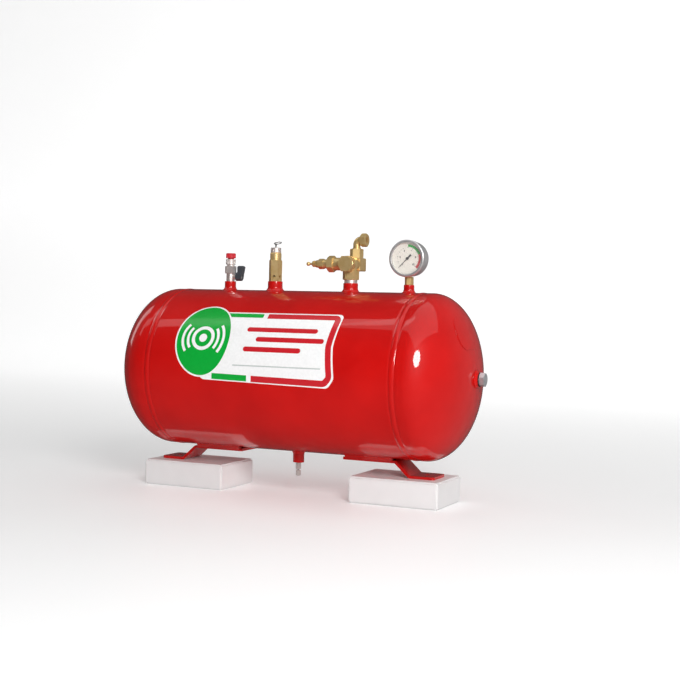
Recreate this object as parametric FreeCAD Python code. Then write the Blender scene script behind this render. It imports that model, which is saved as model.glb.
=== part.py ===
import FreeCAD, Part
import math
import os

# Air receiver tank on two welded feet, with its fittings screwed in.
# Millimetres. X runs along the tank, Z is up, and the origin is the middle of the
# two foot bolts on the underside of the feet.

V = FreeCAD.Vector
X_AXIS = V(1, 0, 0)
Y_AXIS = V(0, 1, 0)
Z_AXIS = V(0, 0, 1)

# vessel
tank_radius = 150.0
wall = 3.0
shell_half_length = 240.0
head_straight = 21.0
head_tangent = shell_half_length + head_straight
head_depth = 85.0
joggle_lap = 15.0
joggle_slope = 5.0
weld_width = 11.0
weld_crown = 0.9

# feet
foot_clearance = 30.0
foot_thickness = 5.0
foot_width = 60.0
foot_bend = 4.0
foot_inner_end = 105.0
foot_plate_end = 206.0
foot_flange_start = 233.0
foot_outer_end = 281.0
foot_corner = 6.0
foot_root_gap = 0.2
bolt_offset = 258.0
bolt_hole_radius = 4.5

# threads and seats
thread_gap = 0.1
running_gap = 0.05
thread_depth = 13.0

# bosses welded into the vessel: place along X, outside radius, radius of the weld's toe,
# height over the vessel and thread radius
outlet_x = -154.0
outlet_boss_radius = 10.75
outlet_flare = 15.2
outlet_rise = 16.0
outlet_thread = 6.6
safety_x = -57.0
safety_boss_radius = 13.9
safety_flare = 19.2
safety_rise = 17.0
safety_thread = 8.4
check_x = 99.0
check_boss_radius = 13.5
check_flare = 18.4
check_rise = 15.5
check_thread = 10.4
gauge_x = 214.0
gauge_boss_radius = 9.5
gauge_flare = 14.2
gauge_rise = 14.0
gauge_thread = 6.6
drain_x = 0.0
drain_boss_radius = 10.5
drain_flare = 14.5
drain_rise = 21.0
drain_thread = 4.9
end_boss_radius = 13.0
end_flare = 16.5
end_rise = 5.0
end_thread = 10.4
boss_inside = 4.0
flare_height = 6.5
flare_edge = 0.9
end_flare_height = 3.2
end_flare_edge = 0.5
boss_chamfer = 0.6

# end plugs
plug_across_flats = 22.0
plug_head = 9.5
washer_thickness = 1.6
washer_radius = 12.6
plug_depth = 8.0

# data pad on the right head
pad_height_on_head = 82.0
pad_offset_y = -13.0
pad_width = 84.0
pad_height = 60.0
pad_corner = 24.0
pad_thickness = 0.8

# label wrapped on the front of the shell: heights are measured along the curve of the shell,
# from the height of the tank's axis
label_left_low = -140.0
label_left_high = -121.0
label_low = -14.0
label_high = 120.0
label_right_low = 126.0
label_right_side = 138.0
label_right_waist = 131.0
label_right_high = 137.0
label_drop = 5.6
label_side_start = -3.0
label_waist_height = 54.0
label_thickness = 0.25
badge_x = -130.0
badge_low = -10.0
badge_high = 134.0
badge_half_width = 57.0

# ball valve on the outlet
valve_bore = 3.2
ball_radius = 5.2
ball_side_room = 0.4
ball_floor_room = 1.0
valve_floor = 2.0
valve_wall = 2.3
valve_roof_room = 1.3
stem_radius = 2.2
stem_seat_gap = 0.8
stem_boss_radius = 4.5
stem_boss_end = 12.2
handle_inner_face = 13.0
handle_paddle_inner = 18.0
handle_outer_low = 24.4
handle_outer_high = 29.0
handle_top = 21.5
handle_bottom = 7.6
handle_shoulder = 7.0
handle_width_low = 12.0
handle_width_high = 14.0
handle_screw_radius = 1.5
handle_screw_head = 3.3
valve_end_flats = 20.0
valve_end_height = 14.0
valve_socket_floor = 5.0
ball_slot = 1.3
valve_roof = 0.3
valve_chamber = ball_radius + ball_side_room
valve_radius = valve_chamber + valve_wall
ball_rise = valve_floor + ball_floor_room + ball_radius
valve_body_height = ball_rise + ball_radius + valve_roof_room + valve_roof
valve_seat_height = ball_radius + ball_floor_room - stem_radius - stem_seat_gap
handle_screw_sink = 1.2
handle_screw_height = 1.8

# hose fitting above the ball valve
neck_radius = 7.2
neck_height = 3.0
neck_slots = 8
collar_radius = 9.4
collar_height = 10.0
collar_grooves = 30
collet_travel = 1.5
collet_spare = 0.7
collet_radius = 5.9
ring_height = 9.4
ring_ribs = 18
hose_radius = 4.0
hose_gap = 0.05
hose_insertion = 7.0
collet_seat = 2.0
collet_grip = 8.0
fitting_core_radius = 7.0
fitting_bore = 2.5
slot_width = 2.2
slot_depth = 1.4

# safety valve
safety_flats = 22.0
safety_body_height = 40.0
safety_seat_rise = 5.0
safety_seat_radius = 4.5
safety_chamber = 8.0
safety_disc_radius = 6.5
safety_disc_height = 4.0
safety_vent_rise = 9.0
safety_vent_radius = 2.5
bonnet_radius = 10.75
bonnet_height = 14.0
cap_radius = 9.85
cap_height = 9.5
pin_radius = 1.75
pin_above_cap = 8.5
eye_below_tip = 2.0
eye_radius = 1.15
pull_ring_radius = 7.0
pull_ring_wire = 0.8
pull_ring_tilt = 20.0
bonnet_thread_length = 8.0
bonnet_bore_gap = 1.0
cap_pocket_radius = 1.9
cap_pocket_depth = 4.0
vent_turn = 44.0
safety_wire = 0.8
safety_spring_radius = 5.3
safety_spring_turns = 7

# check valve block with its pilot branch and inlet elbow
check_washer_radius = 12.0
check_washer_height = 6.0
block_flats = 27.0
block_foot_height = 17.0
block_neck_radius = 11.0
block_axis_rise = 50.5
barrel_radius = 12.5
barrel_flange_radius = 15.0
barrel_front = -17.5
barrel_flange_thickness = 4.5
rear_block_start = 12.0
rear_block_end = 42.0
rear_block_half = 12.2
rear_block_chamfer = 1.5
cap_flats = 28.0
cap_hex = 8.5
cap_neck = 1.5
cap_spigot = 9.6
cap_spigot_radius = 10.5
cap_shoulder = 1.6
chamber_radius = 9.0
check_seat_y = 14.0
check_port_radius = 5.0
check_inlet_radius = 6.0
check_disc_radius = 7.5
check_disc_thickness = 4.0
check_stem_radius = 2.0
check_stem_length = 22.0
check_wire = 0.6
check_spring_turns = 6
check_spring_radius = 4.4
pilot_wire = 0.4
pilot_spring_turns = 3
pilot_spring_radius = 3.3
branch_radius = 11.8
branch_end = 33.0
pilot_flats = 27.0
pilot_hex = 12.0
pilot_spigot = 10.0
pilot_spigot_radius = 8.0
pilot_piston_radius = 4.3
pilot_piston_length = 3.0
pilot_passage = 3.0
pilot_rod_gap = 0.3
pilot_rod_radius = 2.0
sleeve_round = 9.0
sleeve_hex = 11.0
sleeve_flats = 17.0
sleeve_spigot = 6.0
sleeve_spigot_radius = 6.0
locknut_flats = 12.0
locknut_hex = 6.0
locknut_collar = 7.0
locknut_radius = 6.0
pilot_ball = 4.0
pilot_reach = 87.0
pilot_piston_at = 30.0
column_y = 24.0
adapter_flats = 22.0
adapter_height = 17.0
adapter_thread = 6.6
adapter_spigot = 9.0
adapter_socket = 7.5
adapter_socket_radius = 5.6
elbow_radius = 6.8
elbow_bore = 4.4
elbow_bend = 7.6
elbow_rise = 16.0
elbow_nut_flats = 22.0
elbow_nut_start = 9.5
elbow_nut_length = 11.0
pipe_radius = 6.0
pipe_gap = 0.1
ferrule_length = 2.6
elbow_collar = 0.9
elbow_collar_height = 2.0
elbow_spigot = 7.0
elbow_spigot_radius = 5.5
elbow_thread = 8.0
elbow_thread_length = 7.0

# pressure gauge
gauge_flats = 14.0
gauge_hex = 14.5
gauge_neck_radius = 4.6
gauge_inlet_radius = 1.5
socket_width = 12.0
socket_depth = 9.0
socket_height = 13.0
gauge_neck = 1
case_radius = 31.5
gauge_centre_rise = gauge_rise + gauge_hex + gauge_neck + case_radius
case_wall = 1.2
case_front = -15.0
case_back = 16.0
bezel_radius = case_radius + 2.0
bezel_lip = case_radius - 3.0
bezel_back = -9.5
lens_thickness = 1.6
dial_radius = case_radius - case_wall - 0.5
dial_front = -9.8
dial_thickness = 0.8
pointer_front = -12.6
pointer_thickness = 0.6
pointer_length = 23.5
pointer_tail = 9.5
pointer_hub = 2.6
arbor_radius = 0.9
zero_angle = 225.0
tube_ring_radius = case_radius - 10.5
tube_radius = 2.4
tube_back = 4.5
tube_sweep = 255.0
movement_width = 22.0
movement_height = 26.0
movement_depth = 5.0
movement_low = -12.0
bracket_top = -8.0
bezel_step = 1.4

# drain cock
drain_radius = 5.0
drain_body_height = 13.0
drain_flutes = 14
drain_gap = 2.0
knob_radius = 4.8
knob_height = 10.0
needle_radius = 1.6
needle_grip = 4.0
drain_port = 0.9
drain_seat_depth = 2.0

tank_axis = foot_clearance + tank_radius
tank_top = tank_axis + tank_radius


def outline(points):
    """Closed wire in the XZ plane: (a, b) is a corner, (am, bm, a, b) an arc through am, bm."""
    edges = []
    last = V(points[0][-2], 0, points[0][-1])
    for entry in list(points[1:]) + [points[0][-2:]]:
        end = V(entry[-2], 0, entry[-1])
        if len(entry) == 4:
            middle = V(entry[0], 0, entry[1])
            edges.append(Part.Arc(last, middle, end).toShape())
        elif (end - last).Length > 1e-7:
            edges.append(Part.makeLine(last, end))
        last = end
    return Part.Wire(edges)


def rounded_outline(corners):
    """Closed wire in the XZ plane from (x, z, corner radius)."""
    edges = []
    starts = []
    ends = []
    arcs = []
    count = len(corners)
    for index in range(count):
        corner = V(corners[index][0], 0, corners[index][1])
        before = corners[index - 1]
        after = corners[(index + 1) % count]
        back = (V(before[0], 0, before[1]) - corner).normalize()
        ahead = (V(after[0], 0, after[1]) - corner).normalize()
        radius = corners[index][2]
        if radius == 0:
            starts.append(corner)
            ends.append(corner)
            arcs.append(None)
            continue
        half = back.getAngle(ahead) / 2
        inward = (back + ahead).normalize()
        centre = corner + inward * (radius / math.sin(half))
        run = radius / math.tan(half)
        starts.append(corner + back * run)
        ends.append(corner + ahead * run)
        arcs.append(centre - inward * radius)
    for index in range(count):
        if arcs[index] is not None:
            edges.append(Part.Arc(starts[index], arcs[index], ends[index]).toShape())
        following = starts[(index + 1) % count]
        if (following - ends[index]).Length > 1e-7:
            edges.append(Part.makeLine(ends[index], following))
    return Part.Wire(edges)


def outward(shape):
    """The shape with a positive volume."""
    return shape if shape.Volume > 0 else shape.reversed()


def along(shape, origin, direction):
    """Moves a shape drawn up the Z axis from the origin to start at origin and point along direction."""
    placed = shape.copy()
    turn = FreeCAD.Rotation(Z_AXIS, direction)
    placed.Placement = FreeCAD.Placement(origin, turn).multiply(placed.Placement)
    return placed


def turned(points, origin=V(0, 0, 0), direction=Z_AXIS):
    """Solid of revolution: points are (radius, distance along the axis)."""
    face = Part.Face(outline(points))
    solid = outward(face.revolve(V(0, 0, 0), Z_AXIS, 360))
    return along(solid, origin, direction)


def rod(radius, start, end):
    direction = end - start
    return Part.makeCylinder(radius, direction.Length, start, direction)


def hex_bar(flats, start, end, turn=0.0, chamfer=0.9):
    """Hexagonal bar with its corners turned off at both ends."""
    direction = end - start
    length = direction.Length
    corner = flats / math.sqrt(3)
    points = []
    for step in range(7):
        angle = math.radians(turn + 60 * step)
        points.append(V(corner * math.cos(angle), corner * math.sin(angle), 0))
    prism = Part.Face(Part.makePolygon(points)).extrude(V(0, 0, length))
    flat = flats / 2 + 0.1
    drop = (corner - flat) * 0.55
    past = corner + 0.01
    barrel = [(0, 0), (flat, 0), (past, drop), (past, length - drop), (flat, length), (0, length)]
    if chamfer:
        prism = prism.common(turned(barrel))
    return along(prism, start, direction)


def fluted(shape, radius, count, groove, start, direction, length):
    """Cuts straight grooves round a turned shape."""
    cutters = []
    for step in range(count):
        angle = 2 * math.pi * step / count
        foot = V(radius * math.cos(angle), radius * math.sin(angle), -0.5)
        cutters.append(Part.makeCylinder(groove, length + 1.0, foot, Z_AXIS))
    comb = along(Part.makeCompound(cutters), start, direction)
    return shape.cut(comb)


def joined(*shapes):
    result = shapes[0]
    for shape in shapes[1:]:
        result = result.fuse(shape)
    return result.removeSplitter()


def coil(radius, wire, length, turns, origin, direction):
    """Open helical spring that stands on the plane through origin."""
    rise = length - 2 * wire
    helix = Part.makeHelix(rise / turns, rise, radius)
    section = Part.Wire(Part.makeCircle(wire, V(radius, 0, 0), Y_AXIS))
    solid = Part.Wire(helix.Edges).makePipeShell([section], True, True)
    solid.translate(V(0, 0, wire))
    return along(outward(solid), origin, direction)


def mirrored(shape):
    return outward(shape.mirror(V(0, 0, 0), X_AXIS))


nodes = {}


# vessel

axis_start = V(0, 0, tank_axis)


def lengthwise(radius, half_length):
    """Solid cylinder on the tank's axis, from -half_length to half_length."""
    return Part.makeCylinder(radius, 2 * half_length, V(-half_length, 0, tank_axis), X_AXIS)


vessel_block = lengthwise(tank_radius, 2 * shell_half_length)


def boss(place, radius, flare, rise, thread, up):
    """Round boss through the shell with a flared weld at its foot; up is +1 on top and -1 below."""
    direction = Z_AXIS * up
    base = V(place, 0, tank_axis + up * tank_radius)
    inner_end = -wall - boss_inside
    body = turned([(0, inner_end), (radius, inner_end), (radius, rise - boss_chamfer),
                   (radius - boss_chamfer, rise), (0, rise)], base, direction)
    middle = (radius + 0.3 * (flare - radius), flare_edge + 0.32 * (flare_height - flare_edge))
    skirt = turned([(0, -6), (flare, -6), (flare, flare_edge), middle + (radius, flare_height),
                    (0, flare_height)],
                   base, direction)
    skirt = skirt.cut(vessel_block)
    bore = rod(thread, base + direction * (inner_end - 1), base + direction * (rise + 1))
    return joined(body, skirt).cut(bore)


bosses = {
    "boss_outlet": (outlet_x, outlet_boss_radius, outlet_flare, outlet_rise, outlet_thread, 1),
    "boss_safety": (safety_x, safety_boss_radius, safety_flare, safety_rise, safety_thread, 1),
    "boss_check": (check_x, check_boss_radius, check_flare, check_rise, check_thread, 1),
    "boss_gauge": (gauge_x, gauge_boss_radius, gauge_flare, gauge_rise, gauge_thread, 1),
    "boss_drain": (drain_x, drain_boss_radius, drain_flare, drain_rise, drain_thread, -1),
}
shell = lengthwise(tank_radius, shell_half_length).cut(lengthwise(tank_radius - wall, shell_half_length))
for boss_name, (place, radius, flare, rise, thread, up) in bosses.items():
    nodes[boss_name] = boss(place, radius, flare, rise, thread, up)
    middle_height = tank_axis + up * tank_radius
    shell = shell.cut(rod(radius, V(place, 0, middle_height - 20), V(place, 0, middle_height + 20)))
nodes["shell"] = shell


def dish(side_radius, depth):
    """Half ellipsoid of revolution over the head's tangent line, in the head's own axis."""
    centre = V(0, 0, head_tangent)
    ellipse = Part.Ellipse(V(side_radius, 0, head_tangent), V(0, 0, head_tangent + depth), centre)
    arc = Part.ArcOfEllipse(ellipse, 0, math.pi / 2).toShape()
    start = arc.Vertexes[0].Point
    edges = [arc, Part.makeLine(V(0, 0, head_tangent + depth), centre), Part.makeLine(centre, start)]
    return outward(Part.Face(Part.Wire(edges)).revolve(V(0, 0, 0), Z_AXIS, 360))


lap_radius = tank_radius - wall
joggle_start = shell_half_length + 1.0
outer_body = joined(
    dish(tank_radius, head_depth),
    turned([(0, shell_half_length - joggle_lap), (lap_radius, shell_half_length - joggle_lap),
            (lap_radius, joggle_start), (tank_radius, joggle_start + joggle_slope),
            (tank_radius, head_tangent), (0, head_tangent)]))
inner_body = joined(
    dish(lap_radius, head_depth - wall),
    turned([(0, shell_half_length - joggle_lap - 1),
            (lap_radius - wall, shell_half_length - joggle_lap - 1),
            (lap_radius - wall, joggle_start), (lap_radius, joggle_start + joggle_slope),
            (lap_radius, head_tangent), (0, head_tangent)]))
pole = head_tangent + head_depth
head = outer_body.cut(inner_body)
head = head.cut(rod(end_boss_radius, V(0, 0, pole - 20), V(0, 0, pole + 20)))
head_right = along(head, axis_start, X_AXIS)
nodes["head_right"] = head_right
nodes["head_left"] = mirrored(head_right)

# girth weld: fills the groove of the joggle and stands a little proud
weld_start = shell_half_length - (weld_width - joggle_slope - 1.0) / 2
weld_end = weld_start + weld_width
weld_middle = (weld_start + weld_end) / 2
girth_weld = turned([(tank_radius, weld_start), (tank_radius, shell_half_length),
                     (lap_radius, shell_half_length),
                     (lap_radius, joggle_start), (tank_radius, joggle_start + joggle_slope),
                     (tank_radius, weld_end),
                     (tank_radius + weld_crown, weld_middle, tank_radius, weld_start)],
                    axis_start, X_AXIS)
nodes["girth_welds"] = Part.makeCompound([girth_weld, mirrored(girth_weld)])

# ports at the poles of the heads, each shut by a plug on a sealing washer
head_solid = along(dish(tank_radius, head_depth), axis_start, X_AXIS)
pole_point = V(pole, 0, tank_axis)
end_inner = -wall - boss_inside
end_body = turned([(0, end_inner), (end_boss_radius, end_inner), (end_boss_radius, end_rise - boss_chamfer),
                   (end_boss_radius - boss_chamfer, end_rise), (0, end_rise)], pole_point, X_AXIS)
end_skirt = turned([(0, -boss_inside), (end_flare, -boss_inside), (end_flare, end_flare_edge),
                    (end_boss_radius, end_flare_height), (0, end_flare_height)], pole_point, X_AXIS)
end_skirt = end_skirt.cut(head_solid)
end_bore = rod(end_thread, pole_point + X_AXIS * (end_inner - 1), pole_point + X_AXIS * (end_rise + 1))
end_boss = joined(end_body, end_skirt).cut(end_bore)
nodes["end_bosses"] = Part.makeCompound([end_boss, mirrored(end_boss)])

washer_face = pole_point + X_AXIS * end_rise
end_washer = rod(washer_radius, washer_face, washer_face + X_AXIS * washer_thickness)
end_washer = end_washer.cut(rod(end_thread + thread_gap, washer_face - X_AXIS, washer_face + X_AXIS * 5))
nodes["end_washers"] = Part.makeCompound([end_washer, mirrored(end_washer)])

plug_face = washer_face + X_AXIS * washer_thickness
plug = joined(hex_bar(plug_across_flats, plug_face, plug_face + X_AXIS * plug_head, 12),
              rod(end_thread - thread_gap, plug_face - X_AXIS * plug_depth, plug_face))
nodes["end_plugs"] = Part.makeCompound([plug, mirrored(plug)])


# data pad and label

pad_run = head_depth * math.sqrt(1 - (pad_height_on_head / tank_radius) ** 2)
pad_point = V(head_tangent + pad_run, 0, tank_axis + pad_height_on_head)
pad_normal = V(pad_run / head_depth ** 2, 0, pad_height_on_head / tank_radius ** 2).normalize()
pad_wire = rounded_outline([(side * pad_width / 2, end * pad_height / 2, pad_corner)
                            for side, end in ((-1, -1), (1, -1), (1, 1), (-1, 1))])
pad_tool = Part.Face(pad_wire).extrude(V(0, 60, 0))
pad_tool.translate(V(0, -30, 0))
pad_up = pad_normal.cross(Y_AXIS) * -1
pad_matrix = FreeCAD.Matrix(0, pad_normal.x, pad_up.x, pad_point.x,
                            1, pad_normal.y, pad_up.y, pad_offset_y,
                            0, pad_normal.z, pad_up.z, pad_point.z)
pad_tool = pad_tool.transformGeometry(pad_matrix)
pad_skin = along(dish(tank_radius + pad_thickness, head_depth + pad_thickness), axis_start, X_AXIS)
pad = pad_skin.cut(head_solid).common(pad_tool)
nodes["data_pad"] = outward(pad)


def up_shell(arc):
    """Height of a point on the front of the shell, from its distance along the curve above the axis."""
    return tank_axis + tank_radius * math.sin(arc / tank_radius)


label_wire = rounded_outline([
    (label_left_low, up_shell(label_low), 4), (label_right_low, up_shell(label_low - label_drop), 12),
    (label_right_side, up_shell(label_side_start), 14),
    (label_right_waist, up_shell(label_waist_height), 24),
    (label_right_high, up_shell(label_high), 9), (label_left_high, up_shell(label_high), 4)])
badge_centre = V(badge_x, 0, (up_shell(badge_low) + up_shell(badge_high)) / 2)
badge_top = V(badge_x, 0, up_shell(badge_high))
badge_wire = Part.Wire(Part.Ellipse(badge_top, badge_centre + X_AXIS * badge_half_width,
                                    badge_centre).toShape())
forward = V(0, -2 * tank_radius, 0)
label_tool = joined(outward(Part.Face(label_wire).extrude(forward)),
                    outward(Part.Face(badge_wire).extrude(forward)))
label_skin = lengthwise(tank_radius + label_thickness, shell_half_length)
label = label_skin.cut(vessel_block).common(label_tool)
nodes["label"] = outward(label)


# feet

plate_top = foot_clearance - foot_root_gap
plate_low = plate_top - foot_thickness
slope_run = foot_flange_start - foot_plate_end
slope_angle = math.atan2(plate_low, slope_run)
miter = foot_thickness * math.tan(slope_angle / 2)
outer_bend = foot_bend + foot_thickness
foot_wire = rounded_outline([
    (foot_inner_end, plate_low, 0), (foot_plate_end, plate_low, foot_bend),
    (foot_flange_start, 0, outer_bend), (foot_outer_end, 0, 0),
    (foot_outer_end, foot_thickness, 0), (foot_flange_start + miter, foot_thickness, foot_bend),
    (foot_plate_end + miter, plate_top, outer_bend), (foot_inner_end, plate_top, 0)])
strap = Part.Face(foot_wire).extrude(V(0, foot_width, 0))
strap.translate(V(0, -foot_width / 2, 0))
plan = rounded_outline([(foot_inner_end, -foot_width / 2, 0),
                        (foot_outer_end, -foot_width / 2, foot_corner),
                        (foot_outer_end, foot_width / 2, foot_corner), (foot_inner_end, foot_width / 2, 0)])
plan_tool = Part.Face(plan).extrude(V(0, 60, 0))
plan_tool.rotate(V(0, 0, 0), X_AXIS, 90)
plan_tool.translate(V(0, 0, -10))
foot_right = outward(strap).common(outward(plan_tool))
foot_right = foot_right.cut(rod(bolt_hole_radius, V(bolt_offset, 0, -5), V(bolt_offset, 0, 20)))
nodes["foot_right"] = foot_right
nodes["foot_left"] = mirrored(foot_right)


def foot_bead(side):
    """Fillet weld along one edge of the foot's plate, up to the curved shell."""
    edge = side * foot_width / 2
    corners = [(edge - side * 7, plate_top), (edge, plate_top), (edge, plate_top - 3),
               (edge + side * 6, plate_top + 5), (edge + side * 6, plate_top + 12),
               (edge - side * 7, plate_top + 12)]
    start = foot_inner_end + 5
    points = [V(start, across, up) for across, up in corners]
    face = Part.Face(Part.makePolygon(points + points[:1]))
    return outward(face.extrude(V(foot_plate_end - foot_inner_end - 10, 0, 0))).cut(vessel_block)


beads = [foot_bead(-1), foot_bead(1)]
nodes["foot_welds"] = Part.makeCompound(beads + [mirrored(bead) for bead in beads])


# ball valve on the outlet

outlet_face = tank_top + outlet_rise
outlet = V(outlet_x, 0, 0)


def on_outlet(height):
    return V(outlet_x, 0, height)


ball_centre = on_outlet(outlet_face + ball_rise)
valve_top = outlet_face + valve_body_height
chamber_floor = ball_centre.z - ball_radius - ball_floor_room
chamber_roof = valve_top - valve_roof
body = joined(
    turned([(0, outlet_face - thread_depth), (outlet_thread - thread_gap, outlet_face - thread_depth),
            (outlet_thread - thread_gap, outlet_face), (valve_radius, outlet_face),
            (valve_radius, valve_top), (0, valve_top)], outlet),
    rod(stem_boss_radius, ball_centre + X_AXIS * 4, ball_centre + X_AXIS * stem_boss_end))
body = body.cut(rod(valve_bore, on_outlet(outlet_face - thread_depth - 1), ball_centre))
body = body.cut(rod(valve_chamber, on_outlet(chamber_floor), on_outlet(valve_top + 1)))
body = body.cut(rod(stem_radius + running_gap, ball_centre, ball_centre + X_AXIS * 20))
nodes["valve_body"] = body

seat_cavity = Part.makeSphere(ball_radius + running_gap, ball_centre)
seats = []
for low in (chamber_floor, chamber_roof - valve_seat_height):
    high = low + valve_seat_height
    seat = rod(valve_chamber - running_gap, on_outlet(low), on_outlet(high))
    seat = seat.cut(rod(valve_bore, on_outlet(low - 1), on_outlet(high + 1)))
    seats.append(seat.cut(seat_cavity))
nodes["valve_seats"] = Part.makeCompound(seats)

stem_root = ball_centre + X_AXIS * (ball_radius - ball_slot)
ball = Part.makeSphere(ball_radius, ball_centre)
ball = ball.cut(rod(valve_bore, ball_centre - Z_AXIS * 10, ball_centre + Z_AXIS * 10))
ball = ball.cut(rod(stem_radius, stem_root, stem_root + X_AXIS * 5))
nodes["valve_ball"] = ball
stem_end = ball_centre + X_AXIS * (handle_inner_face + 5)
nodes["valve_stem"] = rod(stem_radius, stem_root, stem_end)

# handle: a hub round the stem and a paddle that leans outwards
lean = (handle_outer_high - handle_outer_low) / (handle_top + handle_bottom)
outer_at_shoulder = handle_outer_low + lean * (handle_shoulder + handle_bottom)
side_view = rounded_outline([
    (handle_inner_face, -handle_bottom, 1.5), (handle_outer_low, -handle_bottom, 2.0),
    (outer_at_shoulder, handle_shoulder, 0), (handle_outer_high, handle_top, 2.0),
    (handle_paddle_inner, handle_top, 1.2), (handle_paddle_inner, handle_shoulder + 2, 1.5),
    (handle_inner_face, handle_shoulder, 1.2)])
handle = Part.Face(side_view).extrude(V(0, handle_width_high, 0))
handle.translate(V(0, -handle_width_high / 2, 0))
end_half_low = handle_width_low / 2
end_half_high = handle_width_high / 2
end_view = outline([
    (-end_half_low, -handle_bottom + 5), (0, -handle_bottom, end_half_low, -handle_bottom + 5),
    (end_half_low, handle_shoulder), (end_half_high, handle_top - 3),
    (0, handle_top, -end_half_high, handle_top - 3), (-end_half_low, handle_shoulder)])
end_tool = Part.Face(end_view).extrude(V(0, -60, 0))
end_tool.rotate(V(0, 0, 0), Z_AXIS, 90)
handle = outward(handle).common(outward(end_tool))
handle.translate(ball_centre)
screw_seat = ball_centre + X_AXIS * (handle_outer_low - handle_screw_sink)
handle = handle.cut(rod(stem_radius, ball_centre, stem_end))
handle = handle.cut(rod(handle_screw_head + 0.3, screw_seat, screw_seat + X_AXIS * 10))
handle = handle.cut(rod(handle_screw_radius, stem_end, screw_seat + X_AXIS))
nodes["valve_handle"] = handle
screw_head_top = screw_seat + X_AXIS * handle_screw_height
handle_screw = joined(rod(handle_screw_radius, stem_end, screw_seat),
                      turned([(0, 0), (handle_screw_head, 0), (handle_screw_head, 0.9),
                              (handle_screw_head * 0.6, 1.6, 0, handle_screw_height)], screw_seat, X_AXIS))
handle_screw = handle_screw.cut(Part.makeBox(1.4, 8, 0.9, screw_head_top - V(0.8, 4, 0.45)))
nodes["valve_handle_screw"] = handle_screw

end_top = valve_top + valve_end_height
fitting_thread = outlet_thread
socket_floor = valve_top + valve_socket_floor
valve_end = joined(hex_bar(valve_end_flats, on_outlet(valve_top), on_outlet(end_top), 8),
                   rod(valve_chamber - running_gap, on_outlet(chamber_roof), on_outlet(valve_top)))
valve_end = valve_end.cut(rod(valve_bore, on_outlet(chamber_roof - 1), on_outlet(end_top)))
valve_end = valve_end.cut(rod(fitting_thread, on_outlet(socket_floor), on_outlet(end_top + 1)))
nodes["valve_end"] = valve_end


# hose fitting

neck_top = end_top + neck_height
collar_top = neck_top + collar_height
collet_bottom = collar_top - collet_grip
collet_bore = collet_radius + running_gap
hose_stop = collet_bottom - collet_seat - hose_insertion
fitting = turned([(0, socket_floor + 0.3), (fitting_thread - thread_gap, socket_floor + 0.3),
                  (fitting_thread - thread_gap, end_top), (neck_radius, end_top),
                  (neck_radius, neck_top), (fitting_core_radius, neck_top),
                  (fitting_core_radius, collar_top), (0, collar_top)], outlet)
fitting = fitting.cut(rod(fitting_bore, on_outlet(socket_floor), on_outlet(collar_top)))
fitting = fitting.cut(rod(hose_radius + hose_gap, on_outlet(hose_stop), on_outlet(collar_top)))
fitting = fitting.cut(rod(collet_bore, on_outlet(collet_bottom - collet_seat), on_outlet(collar_top + 1)))
slots = []
for step in range(neck_slots):
    slot = Part.makeBox(3, slot_width, neck_height - 1.0, V(neck_radius - slot_depth, -slot_width / 2, 0.5))
    slot.rotate(V(0, 0, 0), Z_AXIS, 360 * (step + 0.5) / neck_slots)
    slot.translate(on_outlet(end_top))
    slots.append(slot)
nodes["fitting_body"] = fitting.cut(Part.makeCompound(slots))

collar = turned([(fitting_core_radius, neck_top), (collar_radius - 0.6, neck_top),
                 (collar_radius, neck_top + 0.6),
                 (collar_radius, collar_top - 0.6), (collar_radius - 0.6, collar_top),
                 (fitting_core_radius, collar_top)], outlet)
collar = fluted(collar, collar_radius + 0.35, collar_grooves, 0.7, on_outlet(neck_top), Z_AXIS,
                collar_height)
nodes["fitting_collar"] = collar

ring_low = collar_top + collet_travel + collet_spare
ring_top = ring_low + ring_height
ring = turned([(hose_radius + hose_gap + 0.05, collet_bottom), (collet_radius, collet_bottom),
               (collet_radius, ring_low), (collar_radius - 0.5, ring_low), (collar_radius, ring_low + 0.5),
               (collar_radius, ring_top - 1.2), (collar_radius - 1.2, ring_top),
               (hose_radius + 0.9, ring_top), (hose_radius + hose_gap + 0.05, ring_top - 0.8)], outlet)
ring = fluted(ring, collar_radius + 0.55, ring_ribs, 1.0, on_outlet(ring_low), Z_AXIS, ring_height)
nodes["fitting_ring"] = ring


# safety valve

safety_face = tank_top + safety_rise
safety_body_top = safety_face + safety_body_height
safety_seat = safety_face + safety_seat_rise
safety = V(safety_x, 0, 0)


def on_safety(height):
    return V(safety_x, 0, height)


body = joined(hex_bar(safety_flats, on_safety(safety_face), on_safety(safety_body_top), 14),
              rod(safety_thread - thread_gap, on_safety(safety_face - thread_depth),
                  on_safety(safety_face)))
body = body.cut(rod(safety_seat_radius, on_safety(safety_face - thread_depth - 1), on_safety(safety_seat)))
body = body.cut(rod(safety_chamber, on_safety(safety_seat), on_safety(safety_body_top + 1)))
vents = []
for step in range(6):
    angle = math.radians(vent_turn + 60 * step)
    start = on_safety(safety_face + safety_vent_rise)
    reach = V(math.cos(angle), math.sin(angle), 0) * 20
    vents.append(rod(safety_vent_radius, start + reach * 0.3, start + reach))
body = body.cut(Part.makeCompound(vents))
nodes["safety_body"] = body

disc_top = safety_seat + safety_disc_height
bonnet_top = safety_body_top + bonnet_height
safety_cap_top = bonnet_top + cap_height
pin_tip = safety_cap_top + pin_above_cap
nodes["safety_disc"] = turned([(0, safety_seat), (safety_disc_radius, safety_seat),
                               (safety_disc_radius, disc_top - 1),
                               (safety_disc_radius - 1, disc_top), (0, disc_top)], safety)

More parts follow.
